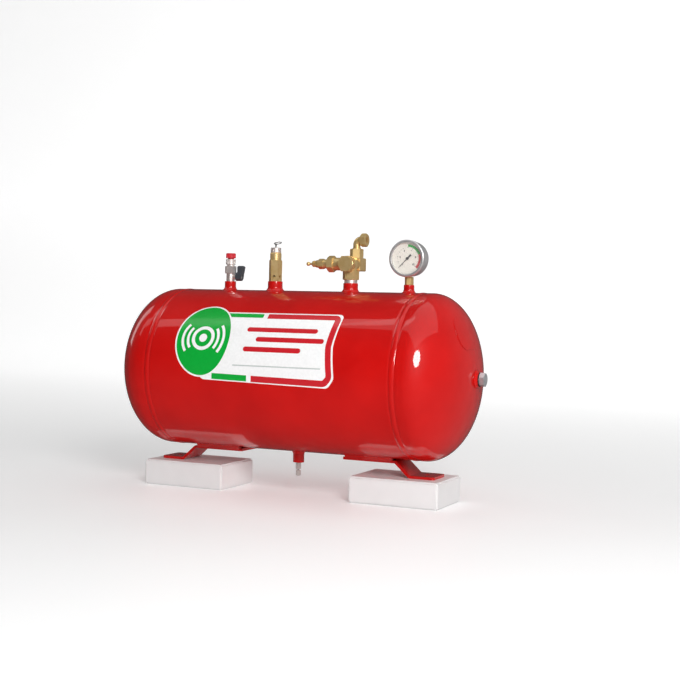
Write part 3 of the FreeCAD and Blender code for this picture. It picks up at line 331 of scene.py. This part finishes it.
# vessel
shellLow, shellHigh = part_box("shell")
axisZ = (shellLow.z + shellHigh.z) / 2
tankR = (shellHigh.z - shellLow.z) / 2
shellEnd = shellHigh.x
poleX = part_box("head_right")[1].x
vessel = {
    "wall": 3 * mm, "tangent": 261 * mm, "roundSteps": 288, "ellipseSteps": 90, "longestRun": 20 * mm,
    "edgeDip": 0.9 * mm, "dipRun": 4.5 * mm, "dipRound": 12 * mm, "lapRun": 1 * mm,
    # the skirt climbs out of the dip: distance past the shell's end, and the share of the dip left there
    "skirtRise": ((6.0 * mm, 1.0), (8.4 * mm, 0.85), (9.8 * mm, 0.45), (11.4 * mm, 0.12), (13.5 * mm, 0.0)),
}
weld = {
    "low": 237.5 * mm, "high": 248.5 * mm, "crown": 0.85 * mm, "seat": 0.16 * mm, "drift": 0.45 * mm,
    "crownDrift": 0.15, "ripple": 0.05 * mm, "sunk": 1 * mm, "around": 720, "across": 17,
}


def wander(theta, seeds, size):
    # slow uneven drift round a circle: a few sine waves of whole turns with fixed phases
    total = 0
    for turns, phase, share in seeds:
        total = total + share * np.sin(theta * turns + phase)
    return size * total


def makeShell():
    # closed tube: outside and inside cylinders joined at the ends, the outside dips beside each girth weld
    v = vessel
    profile = refined(roundedLoop([
        (tankR - v["edgeDip"], -shellEnd, 0), (tankR, v["dipRun"] - shellEnd, v["dipRound"]),
        (tankR, shellEnd - v["dipRun"], v["dipRound"]), (tankR - v["edgeDip"], shellEnd, 0),
        (tankR - v["wall"], shellEnd, 0), (tankR - v["wall"], -shellEnd, 0)], 7), v["longestRun"])
    makePiece("tank_shell", [turned(profile, (0, 0, axisZ), (1, 0, 0), v["roundSteps"])],
              [finishes["tank_paint"]], "tank", ["shell"])


def makeHead(side, node):
    # half ellipse turned about the tank's axis, with a straight skirt that steps down into the shell
    v = vessel
    depth = poleX - v["tangent"]
    angle = np.linspace(0, math.pi / 2, v["ellipseSteps"])
    lap = tankR - v["wall"]
    outer = np.stack([tankR * np.cos(angle), v["tangent"] + depth * np.sin(angle)], axis=1)
    inner = np.stack([lap * np.cos(angle), v["tangent"] + (depth - v["wall"]) * np.sin(angle)], axis=1)
    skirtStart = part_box("head_right")[0].x
    skirt = [(lap - v["wall"], shellEnd), (lap - v["wall"], skirtStart), (lap, skirtStart),
             (lap, shellEnd + v["lapRun"])]
    skirt += [(tankR - share * v["edgeDip"], shellEnd + run) for run, share in v["skirtRise"]]
    profile = np.concatenate([np.array(skirt), outer, inner[::-1]])
    makePiece("tank_" + node, [turned(profile, (0, 0, axisZ), (side, 0, 0), v["roundSteps"])],
              [finishes["tank_paint"]], "tank", [node])


def makeGirthWelds():
    # low crowned bead: height is a parabola across the bead, its edges and crown wander slowly round the tank
    w = weld
    dip = vessel["edgeDip"]
    theta = np.linspace(0, wholeTurn, w["around"], endpoint=False)[:, None]
    across = np.linspace(0, 1, w["across"])[None, :]
    shape = 1 - np.abs(2 * across - 1) ** 2
    under = tankR - w["sunk"]
    patches = []
    for side in (-1, 1):
        drift = wander(theta, [(7, 0.4 + side, 0.5), (19, 2.1, 0.3), (43, 1.2 * side, 0.2)], w["drift"])
        ripple = wander(theta, [(360, 0.0, 0.5), (353, side, 0.5)], w["ripple"])
        height = (w["crown"] + dip - w["seat"] + ripple + drift * w["crownDrift"]) * shape - dip
        place = side * (w["low"] + (w["high"] - w["low"]) * across + drift * np.cos(across * math.pi))
        radius = tankR + height
        top = np.stack([place, radius * np.sin(theta), axisZ + radius * np.cos(theta)], axis=2)
        level = np.full_like(radius, under)
        base = np.stack([place, level * np.sin(theta), axisZ + level * np.cos(theta)], axis=2)[:, ::-1]
        patches.append(patch(np.concatenate([top, base], axis=1), wrapRows=True, wrapCols=True))
    makePiece("girth_weld_beads", patches, [finishes["tank_paint"]], "tank", ["girth_welds"],
              sharp=60)


bossSizes = {
    "boss_outlet": {"radius": 10.75 * mm, "thread": 6.6 * mm, "up": 1},
    "boss_safety": {"radius": 13.9 * mm, "thread": 8.4 * mm, "up": 1},
    "boss_check": {"radius": 13.5 * mm, "thread": 10.4 * mm, "up": 1},
    "boss_gauge": {"radius": 9.5 * mm, "thread": 6.6 * mm, "up": 1},
    "boss_drain": {"radius": 10.5 * mm, "thread": 4.9 * mm, "up": -1},
}
bossFoot = {
    "flareHeight": 6.5 * mm, "toeSink": 0.3 * mm, "wallGap": 0.5 * mm, "edge": 0.8 * mm, "sunk": 6 * mm,
    "ripples": 46, "rippleSize": 0.14 * mm, "rippleDrift": 2.2, "around": 192, "flareSteps": 22,
}


def makeBoss(name):
    # round boss: from the weld's toe on the shell a curve climbs to the wall; its height follows the curved
    # shell at the toe and becomes level where the wall starts
    size, foot = bossSizes[name], bossFoot
    start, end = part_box(name)
    place, flare, up = (start.x + end.x) / 2, (end.x - start.x) / 2, size["up"]
    rise = (end.z - axisZ if up > 0 else axisZ - start.z) - tankR
    theta = np.linspace(0, wholeTurn, foot["around"], endpoint=False)[:, None]
    t = np.linspace(0, 1, foot["flareSteps"])[None, :]
    wave = np.sin(foot["ripples"] * theta + foot["rippleDrift"] * np.sin(3 * theta))
    radius = size["radius"] + (flare - size["radius"]) * (1 - np.sin(t * math.pi / 2))
    radius = radius + foot["rippleSize"] * np.sin(math.pi * t) * wave
    shellZ = np.sqrt(tankR ** 2 - (radius * np.sin(theta)) ** 2)
    climb = foot["flareHeight"] * (1 - np.cos(t * math.pi / 2))
    ease = t * t * (3 - 2 * t)
    height = (shellZ + climb - foot["toeSink"] * (1 - t)) * (1 - ease) + (tankR + climb) * ease
    top, low = tankR + rise, tankR - foot["sunk"]
    wallProfile = roundedLoop([
        (size["radius"], tankR + foot["flareHeight"] + foot["wallGap"], 0),
        (size["radius"], top, foot["edge"]),
        (size["thread"] + foot["edge"], top, 0), (size["thread"], top - foot["edge"], 0),
        (size["thread"], low, 0), (size["radius"], low, 0)], 5, False)
    wallR = np.broadcast_to(wallProfile[None, :, 0], (foot["around"], len(wallProfile)))
    wallZ = np.broadcast_to(wallProfile[None, :, 1], (foot["around"], len(wallProfile)))
    hidden = np.full((foot["around"], 1), low)
    radius = np.concatenate([np.full((foot["around"], 1), flare - mm), radius, wallR], axis=1)
    height = np.concatenate([hidden, height, wallZ], axis=1)
    points = np.stack([place + radius * np.cos(theta), radius * np.sin(theta), axisZ + up * height], axis=2)
    makePiece("welded_" + name, [patch(points, wrapRows=True, wrapCols=True)], [finishes["tank_paint"]],
              "tank", [name])


makeShell()
makeHead(1, "head_right")
makeHead(-1, "head_left")
makeGirthWelds()
for bossName in bossSizes:
    makeBoss(bossName)
print("vessel made")


# label: film and inks laid on the curved shell; places are along the tank and up its front, in mm
paper, red, green, grey = range(4)
label = {
    "lift": 0.18 * mm, "layer": 0.05 * mm, "panelCentre": (0.0, 52 * mm),
    "panel": ((-132, -13.8, 12), (126, -19.6, 12), (138, -3, 14), (131, 54, 24), (137, 120.5, 9),
              (-121, 119.6, 4)),
    # bands: corners with their radius, half width, ink
    "bands": (
        (((-12, 112.0, 0), (128.2, 112.4, 7), (122.0, 54, 24), (128.6, -1, 12), (119, -11.6, 9),
          (-24, -9.0, 0)), 5.6, red),
        (((-104, 112.4, 0), (-21, 112.6, 0)), 4.6, green),
        (((-104, -7.2, 0), (-33, -8.6, 0)), 5.4, green),
    ),
    # bars: start, end, height on the panel, half width, ink
    "bars": ((-44, 96, 82, 4.6, red), (-22, 112, 63, 4.6, red), (-44, 70, 44, 4.6, red),
             (-62, 112, 14, 1.1, grey)),
}
badge = {
    "at": (-130 * mm, 62 * mm), "half": (57 * mm, 72 * mm), "rim": 3 * mm, "ringRadius": 20 * mm,
    "ringHalf": 3.2 * mm, "dot": 8 * mm, "waveRadii": (31 * mm, 42 * mm), "waveHalf": 2.6 * mm,
    "waveStarts": (-38, 142), "waveSweep": 76,
}


def onShell(along, arc, layer):
    # along the tank, and arc length up the front of the shell from its middle height
    radius = tankR + label["lift"] + layer * label["layer"]
    return np.stack([along, -radius * np.cos(arc / tankR), axisZ + radius * np.sin(arc / tankR)], axis=-1)


def reach(loop, centre, angles):
    # distance from the centre to a closed outline along each angle
    a = loop - centre
    b = np.roll(loop, -1, axis=0) - centre
    d = np.stack([np.cos(angles), np.sin(angles)], axis=1)
    side = b - a
    cross = d[:, None, 0] * side[None, :, 1] - d[:, None, 1] * side[None, :, 0]
    safe = np.where(np.abs(cross) < 1e-15, 1e-15, cross)
    far = (a[None, :, 0] * side[None, :, 1] - a[None, :, 1] * side[None, :, 0]) / safe
    share = (a[None, :, 0] * d[:, None, 1] - a[None, :, 1] * d[:, None, 0]) / safe
    good = (share >= -1e-9) & (share <= 1 + 1e-9) & (far > 0)
    return np.where(good, far, 0).max(axis=1)


def filled(loop, centre, layer, paint, rings=40, spokes=720):
    # the area inside an outline seen whole from its centre: rings shrink from the outline to the centre
    angles = np.linspace(0, wholeTurn, spokes, endpoint=False)
    distance = reach(loop, np.array(centre), angles)[:, None] * np.linspace(1, 0, rings)[None, :]
    return patch(onShell(centre[0] + distance * np.cos(angles)[:, None],
                         centre[1] + distance * np.sin(angles)[:, None], layer), wrapRows=True, paint=paint)


def ribbon(path, halfWidth, layer, paint, steps=6):
    # band of even width along an open path with rounded corners
    line = roundedLoop([(a * mm, b * mm, r * mm) for a, b, r in path], steps, False)
    runs = np.diff(line, axis=0)
    counts = np.ceil(np.linalg.norm(runs, axis=1) / (3 * mm)).astype(int)
    line = np.concatenate([line[:1], *[a + run * np.linspace(0, 1, n + 1)[1:, None]
                                       for a, run, n in zip(line[:-1], runs, counts)]])
    run = np.gradient(line, axis=0)
    normal = np.stack([-run[:, 1], run[:, 0]], axis=1) / np.linalg.norm(run, axis=1)[:, None]
    across = np.linspace(1, -1, 3)[None, :, None] * halfWidth * mm
    spot = line[:, None, :] + normal[:, None, :] * across
    return patch(onShell(spot[..., 0], spot[..., 1], layer), paint=paint)


def capsule(low, high, arc, half, layer, paint):
    # bar with round ends: its half height follows a circle at each end
    along = np.linspace(0, 1, 160)
    place = low + (high - low) * (1 - np.cos(along * math.pi)) / 2
    edge = np.minimum(place - low, high - place)
    halfHeight = np.where(edge < half, np.sqrt(np.maximum(0, half ** 2 - (half - edge) ** 2)), half)
    up = arc + np.linspace(1, -1, 5)[None, :] * halfHeight[:, None]
    return patch(onShell(np.broadcast_to(place[:, None], up.shape), up, layer), paint=paint)


def ellipseLoop(centre, half, steps=240):
    # outline of an ellipse: half widths times the cosine and sine of an even angle
    angle = np.linspace(0, wholeTurn, steps, endpoint=False)
    return np.stack([centre[0] + half[0] * np.cos(angle), centre[1] + half[1] * np.sin(angle)], axis=1)


def arcBand(centre, radius, half, start, end, layer, paint):
    # part of a ring: every radius from edge to edge at even angles
    angle = np.radians(np.linspace(start, end, 64))[:, None]
    r = radius + np.linspace(1, -1, 3)[None, :] * half
    return patch(onShell(centre[0] + r * np.cos(angle), centre[1] + r * np.sin(angle), layer), paint=paint)


def makeLabel():
    # panel and its bands, then the badge's rim, field, ring, dot and waves, then the bars; what is printed
    # over something lies a layer higher
    b = badge
    inner = (b["half"][0] - b["rim"], b["half"][1] - b["rim"])
    panel = roundedLoop([(x * mm, y * mm, r * mm) for x, y, r in label["panel"]], 8)
    patches = [filled(panel, label["panelCentre"], 0, paper)]
    for path, half, ink in label["bands"]:
        patches.append(ribbon(path, half, 1, ink))
    patches += [
        filled(ellipseLoop(b["at"], b["half"]), b["at"], 1, paper, 36, 360),
        filled(ellipseLoop(b["at"], inner), b["at"], 2, green, 36, 360),
        arcBand(b["at"], b["ringRadius"], b["ringHalf"], 0, 360, 3, paper),
        filled(ellipseLoop(b["at"], (b["dot"], b["dot"])), b["at"], 3, paper, 8, 96),
    ]
    for radius in b["waveRadii"]:
        for start in b["waveStarts"]:
            patches.append(arcBand(b["at"], radius, b["waveHalf"], start, start + b["waveSweep"], 3, paper))
    for low, high, arc, half, ink in label["bars"]:
        patches.append(capsule(low * mm, high * mm, arc * mm, half * mm, 1, ink))
    materials = [finishes["label_print"], inks["red"], inks["green"], inks["grey"]]
    makePiece("front_label", patches, materials, "tank", ["label"], sharp=60, closed=False,
              merge=2e-7)


makeLabel()
print("label made")


# pressure gauge
bezelLow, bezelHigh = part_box("gauge_bezel")
gaugeX, gaugeZ = (bezelLow.x + bezelHigh.x) / 2, (bezelLow.z + bezelHigh.z) / 2
gauge = {
    "bezelR": (bezelHigh.x - bezelLow.x) / 2, "lip": 28.5 * mm, "front": -bezelLow.y, "caseR": 31.5 * mm,
    "back": -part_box("gauge_case")[1].y, "dialR": 29.8 * mm, "dialFront": -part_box("gauge_dial")[0].y,
    "zero": 225.0, "sweep": 270.0, "divisions": 10, "smallSteps": 5, "dialThickness": 0.8 * mm,
    "numberAt": 15 * mm, "numberSize": 5 * mm, "numberWeight": 0.035,
    # printed marks: radii and widths in mm, angles in degrees
    "arc": (20.8, 25.4), "greenFrom": 90, "redFrom": 20, "redTo": -45, "tickEnd": 20.4,
    "mainTick": (18.4, 0.8), "smallTick": (19.4, 0.3),
    "arcLift": 0.05 * mm, "tickLift": 0.07 * mm, "numberLift": 0.08 * mm,
    "lipRun": 2 * mm, "lipFall": 0.2 * mm, "lipThickness": 1.4 * mm, "bezelFit": 0.1 * mm,
    "caseFront": 15 * mm, "caseWall": 1.2 * mm, "around": 180,
}
redMark, greenMark, blackMark = range(3)


def onDial(radius, angle, lift):
    # polar place on the dial as seen from the front, angle in degrees counter-clockwise from the right
    turn = np.radians(angle)
    y = np.full(np.shape(radius * turn), -gauge["dialFront"] - lift)
    return np.stack([gaugeX + radius * np.cos(turn), y, gaugeZ + radius * np.sin(turn)], axis=-1)


def dialArc(start, end, paint, steps=48):
    # part of the coloured ring: every radius from edge to edge at even angles
    inner, outer = gauge["arc"]
    angle = np.linspace(start, end, steps)[:, None]
    radius = np.linspace(outer, inner, 3)[None, :]
    return patch(onDial(radius * mm + 0 * angle, angle + 0 * radius, gauge["arcLift"]), paint=paint)


def dialTick(angle, inner, width, paint):
    # narrow bar that points at the centre
    radius = np.linspace(gauge["tickEnd"], inner, 2)[:, None] * mm
    side = np.linspace(-1, 1, 2)[None, :] * width / 2 * mm
    turn = math.radians(angle)
    x = gaugeX + radius * math.cos(turn) - side * math.sin(turn)
    z = gaugeZ + radius * math.sin(turn) + side * math.cos(turn)
    y = np.full(x.shape, -gauge["dialFront"] - gauge["tickLift"])
    return patch(np.stack([x, y, z], axis=-1), paint=paint)


def dialNumber(text, angle):
    # a number as a flat outline, turned upright in front of the dial
    g = gauge
    curve = bpy.data.curves.new("dialNumber", "FONT")
    curve.body = text
    curve.size = g["numberSize"]
    curve.offset = g["numberSize"] * g["numberWeight"]
    curve.align_x = "CENTER"
    curve.align_y = "CENTER"
    holder = bpy.data.objects.new("dialNumber", curve)
    bpy.context.scene.collection.objects.link(holder)
    bpy.context.view_layer.update()
    flat = bpy.data.meshes.new_from_object(holder.evaluated_get(bpy.context.evaluated_depsgraph_get()))
    bpy.data.objects.remove(holder)
    turn = math.radians(angle)
    spot = Vector((gaugeX + g["numberAt"] * math.cos(turn), -g["dialFront"] - g["numberLift"],
                   gaugeZ + g["numberAt"] * math.sin(turn)))
    flat.transform(Matrix.Translation(spot) @ Matrix.Rotation(math.pi / 2, 4, "X"))
    return flat


def makeDial():
    # a thin disc, and on it the coloured arcs, the ticks and every second number
    g = gauge
    rim, rear = g["dialFront"], g["dialFront"] - g["dialThickness"]
    sheet = turned(np.array([(0, rim), (g["dialR"], rim), (g["dialR"], rear), (0, rear)]),
                   (gaugeX, 0, gaugeZ), (0, -1, 0), 120, wrap=False)
    makePiece("gauge_dial_sheet", [sheet], [finishes["dial_face"]], "tank", ["gauge_dial"])
    patches = [dialArc(g["greenFrom"], g["redFrom"], greenMark), dialArc(g["redFrom"], g["redTo"], redMark)]
    for step in range(g["divisions"] * g["smallSteps"] + 1):
        angle = g["zero"] - g["sweep"] * step / (g["divisions"] * g["smallSteps"])
        inner, width = g["mainTick"] if step % g["smallSteps"] == 0 else g["smallTick"]
        patches.append(dialTick(angle, inner, width, blackMark))
    materials = [inks["red"], inks["green"], inks["black"]]
    marks = makePiece("gauge_dial_marks", patches, materials, "tank", None, closed=False,
                      merge=1e-7)
    work = bmesh.new()
    work.from_mesh(marks.data)
    for step in range(0, g["divisions"] + 1, 2):
        number = dialNumber(str(step), g["zero"] - g["sweep"] * step / g["divisions"])
        number.polygons.foreach_set("material_index", np.full(len(number.polygons), blackMark, np.int32))
        work.from_mesh(number)
    work.to_mesh(marks.data)
    work.free()


def makeGaugeShell():
    # bezel, case and window are profiles turned about the gauge's own axis, which points to the front
    g = gauge
    centre, forward = (gaugeX, 0, gaugeZ), (0, -1, 0)
    hole, rear, under = g["caseR"] + g["bezelFit"], -bezelHigh.y, g["front"] - g["lipThickness"]
    bezel = roundedLoop([
        (g["lip"], g["front"] - g["lipFall"], 0.3 * mm), (g["lip"] + g["lipRun"], g["front"], 1.6 * mm),
        (g["bezelR"], g["front"], 2.2 * mm), (g["bezelR"], rear, 0.9 * mm),
        (hole, rear, 0.2 * mm), (hole, under, 0), (g["lip"], under, 0)], 9)
    makePiece("gauge_bezel_ring", [turned(bezel, centre, forward, g["around"])], [finishes["gauge_case"]],
              "tank", ["gauge_bezel"])
    bore, floor = g["caseR"] - g["caseWall"], g["back"] + g["caseWall"]
    case = roundedLoop([
        (0, g["back"], 0), (g["caseR"], g["back"], 4 * mm), (g["caseR"], g["caseFront"], 0),
        (bore, g["caseFront"], 0), (bore, floor, 3 * mm), (0, floor, 0)], 9, False)
    makePiece("gauge_case_cup", [turned(case, centre, forward, 160, wrap=False)], [finishes["gauge_case"]],
              "tank", ["gauge_case"])
    lensLow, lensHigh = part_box("gauge_lens")
    radius = (lensHigh.x - lensLow.x) / 2 * np.linspace(1, 0, 14)
    front = np.stack([radius, np.full(14, -lensLow.y)], axis=1)
    back = np.stack([radius[::-1], np.full(14, -lensHigh.y)], axis=1)
    makePiece("gauge_window", [turned(np.concatenate([back, front]), centre, forward, 120, wrap=False)],
              [finishes["gauge_glass"]], "tank", ["gauge_lens"])


makeDial()
makeGaugeShell()
print("gauge made")


# stage, light and camera
stageLook = {
    "floorZ": -0.048, "floor": srgb(226, 226, 226), "glow": (0.26, 0.64), "glowFrom": (0.3, 3.0),
    "near": -4.0, "bendAt": 2.6, "bendRadius": 0.9, "top": 4.5, "halfWidth": 5.0,
    "block": srgb(236, 234, 234), "blockHalf": (0.085, 0.062), "blockAt": 0.215, "blockEdge": 0.003,
}


def stageMaterial(name, colour, shade, scale, roughness):
    # pale matt surface, a little uneven
    material, shader = newMaterial(name)
    darker = tuple(channel * shade for channel in colour)
    link(material, ramp(material, noise(material, scale), [(0.3, darker), (0.7, colour)]),
         shader.inputs["Base Color"])
    shader.inputs["Roughness"].default_value = roughness
    return material, shader


def makeSweep():
    # floor that curves up into a backdrop: straight, a quarter round, straight; painted light: it glows more
    # further back, in place of lamp light on the backdrop
    s = stageLook
    floor, shader = stageMaterial("stage_floor", s["floor"], 0.985, 6.0, 0.55)
    shader.inputs["Emission Color"].default_value = (1.0, 1.0, 1.0, 1.0)
    place = floor.node_tree.nodes.new("ShaderNodeSeparateXYZ")
    link(floor, objectPoint(floor), place.inputs[0])
    # painted light: the stage gives off its own light, weaker near the front and stronger further back
    glow = spread(floor, place.outputs["Y"], *s["glow"], *s["glowFrom"])
    link(floor, glow, shader.inputs["Emission Strength"])
    bump(floor, shader, noise(floor, 900.0), 0.1, 0.0001)
    bend = np.linspace(0, math.pi / 2, 24)
    at, radius = s["bendAt"], s["bendRadius"]
    quarter = np.stack([at + radius * np.sin(bend), radius * (1 - np.cos(bend))], axis=1)
    line = np.concatenate([[(s["near"], 0.0), (-1.0, 0.0)], quarter, [(at + radius, s["top"])]])
    side = np.linspace(-s["halfWidth"], s["halfWidth"], 3)
    points = np.stack([side[None, :] + 0 * line[:, :1], np.repeat(line[:, :1], 3, 1),
                       s["floorZ"] + np.repeat(line[:, 1:], 3, 1)], axis=-1)
    verts, quads, _ = patch(points)
    data = bpy.data.meshes.new("stage_sweep")
    data.from_pydata(verts.tolist(), [], quads[:, ::-1].tolist())
    data.polygons.foreach_set("use_smooth", np.ones(len(data.polygons), bool))
    data.materials.append(floor)
    sweep = bpy.data.objects.new("stage_sweep", data)
    sweep.visible_glossy = False  # the paint mirrors the lights only
    bpy.context.scene.collection.objects.link(sweep)


def makeBlocks():
    # two plain blocks with soft edges under the feet
    s = stageLook
    chalk, shader = stageMaterial("stage_block", s["block"], 0.97, 30.0, 0.4)
    bump(chalk, shader, noise(chalk, 500.0), 0.1, 0.0001)
    height = -s["floorZ"]
    for side in (-1, 1):
        work = bmesh.new()
        bmesh.ops.create_cube(work, size=1.0)
        place = Matrix.Translation((side * s["blockAt"], 0, -height / 2))
        stretch = Matrix.Diagonal((2 * s["blockHalf"][0], 2 * s["blockHalf"][1], height, 1))
        bmesh.ops.transform(work, verts=work.verts, matrix=place @ stretch)
        bmesh.ops.bevel(work, geom=work.edges, offset=s["blockEdge"], segments=4, affect="EDGES")
        data = bpy.data.meshes.new("stage_block")
        work.to_mesh(data)
        work.free()
        data.materials.append(chalk)
        block = bpy.data.objects.new("stage_block", data)
        bpy.context.scene.collection.objects.link(block)


studio = {
    # azimuth and elevation of the lamp as seen from its aim, distance, size, power, aim, shape
    "lamps": {
        "key_box": (37, 24.6, 2.6, (0.98, 1.0), 56, (0.26, -0.1, 0.2), "ELLIPSE"),
        "top_box": (66, 74, 3.6, (4.4, 4.4), 38, (0, 0, 0.2), "RECTANGLE"),
        "left_strip": (-60, 57, 3.4, (0.5, 3.4), 6, (0, 0, 0.2), "RECTANGLE"),
        "left_fill": (-96, 30, 3.6, (0.8, 2.6), 13, (0, 0, 0.2), "RECTANGLE"),
    },
    "worldFrom": -0.35, "worldTo": 0.5, "worldDark": 0.06, "worldPale": 0.2,
}


def direction(azimuth, elevation):
    # unit vector from the object towards a lamp or camera: azimuth from the front to the right, in degrees
    a, e = math.radians(azimuth), math.radians(elevation)
    return Vector((math.sin(a) * math.cos(e), -math.cos(a) * math.cos(e), math.sin(e)))


def areaLight(name, azimuth, elevation, distance, size, power, aim, shape):
    data = bpy.data.lights.new(name, "AREA")
    data.shape = shape
    data.size, data.size_y = size
    data.energy = power
    lamp = bpy.data.objects.new(name, data)
    back = direction(azimuth, elevation)
    lamp.location = Vector(aim) + back * distance
    lamp.rotation_euler = (-back).to_track_quat("-Z", "Y").to_euler()
    bpy.context.scene.collection.objects.link(lamp)


def makeLights():
    # the world is dark to the left, where the cylinder mirrors it, and paler to the right
    world = bpy.data.worlds.new("studio")
    world.use_nodes = True
    tree = world.node_tree
    coord = tree.nodes.new("ShaderNodeTexCoord")
    split = tree.nodes.new("ShaderNodeSeparateXYZ")
    share = tree.nodes.new("ShaderNodeMapRange")
    grade = tree.nodes.new("ShaderNodeValToRGB")
    tree.links.new(coord.outputs["Generated"], split.inputs[0])
    tree.links.new(split.outputs["X"], share.inputs["Value"])
    tree.links.new(share.outputs["Result"], grade.inputs["Fac"])
    tree.links.new(grade.outputs["Color"], tree.nodes["Background"].inputs[0])
    share.inputs["From Min"].default_value = studio["worldFrom"]
    share.inputs["From Max"].default_value = studio["worldTo"]
    for element, level in zip(grade.color_ramp.elements, (studio["worldDark"], studio["worldPale"])):
        element.color = (level, level, level, 1)
    bpy.context.scene.world = world
    for name, values in studio["lamps"].items():
        areaLight(name, *values)


view = {"place": (1.0323, -2.0802, 0.3066), "azimuth": 24.60, "pitch": 1.65, "roll": 1.28, "lens": 65.72}


def makeCamera():
    # azimuth round the object, a slight look down, and a small roll about the line of sight
    roll = math.radians(view["roll"])
    back = direction(view["azimuth"], view["pitch"])
    level = Vector((0, 0, 1)).cross(back).normalized()
    upright = back.cross(level)
    right = level * math.cos(roll) + upright * math.sin(roll)
    up = upright * math.cos(roll) - level * math.sin(roll)
    data = bpy.data.cameras.new("camera")
    data.lens = view["lens"]
    data.sensor_width = 36
    camera = bpy.data.objects.new("camera", data)
    camera.matrix_world = Matrix((
        (right.x, up.x, back.x, view["place"][0]), (right.y, up.y, back.y, view["place"][1]),
        (right.z, up.z, back.z, view["place"][2]), (0, 0, 0, 1)))
    bpy.context.scene.collection.objects.link(camera)
    bpy.context.scene.camera = camera


makeSweep()
makeBlocks()
makeLights()
makeCamera()
bpy.context.scene.view_settings.view_transform = "Standard"
print("stage, lights and camera made")
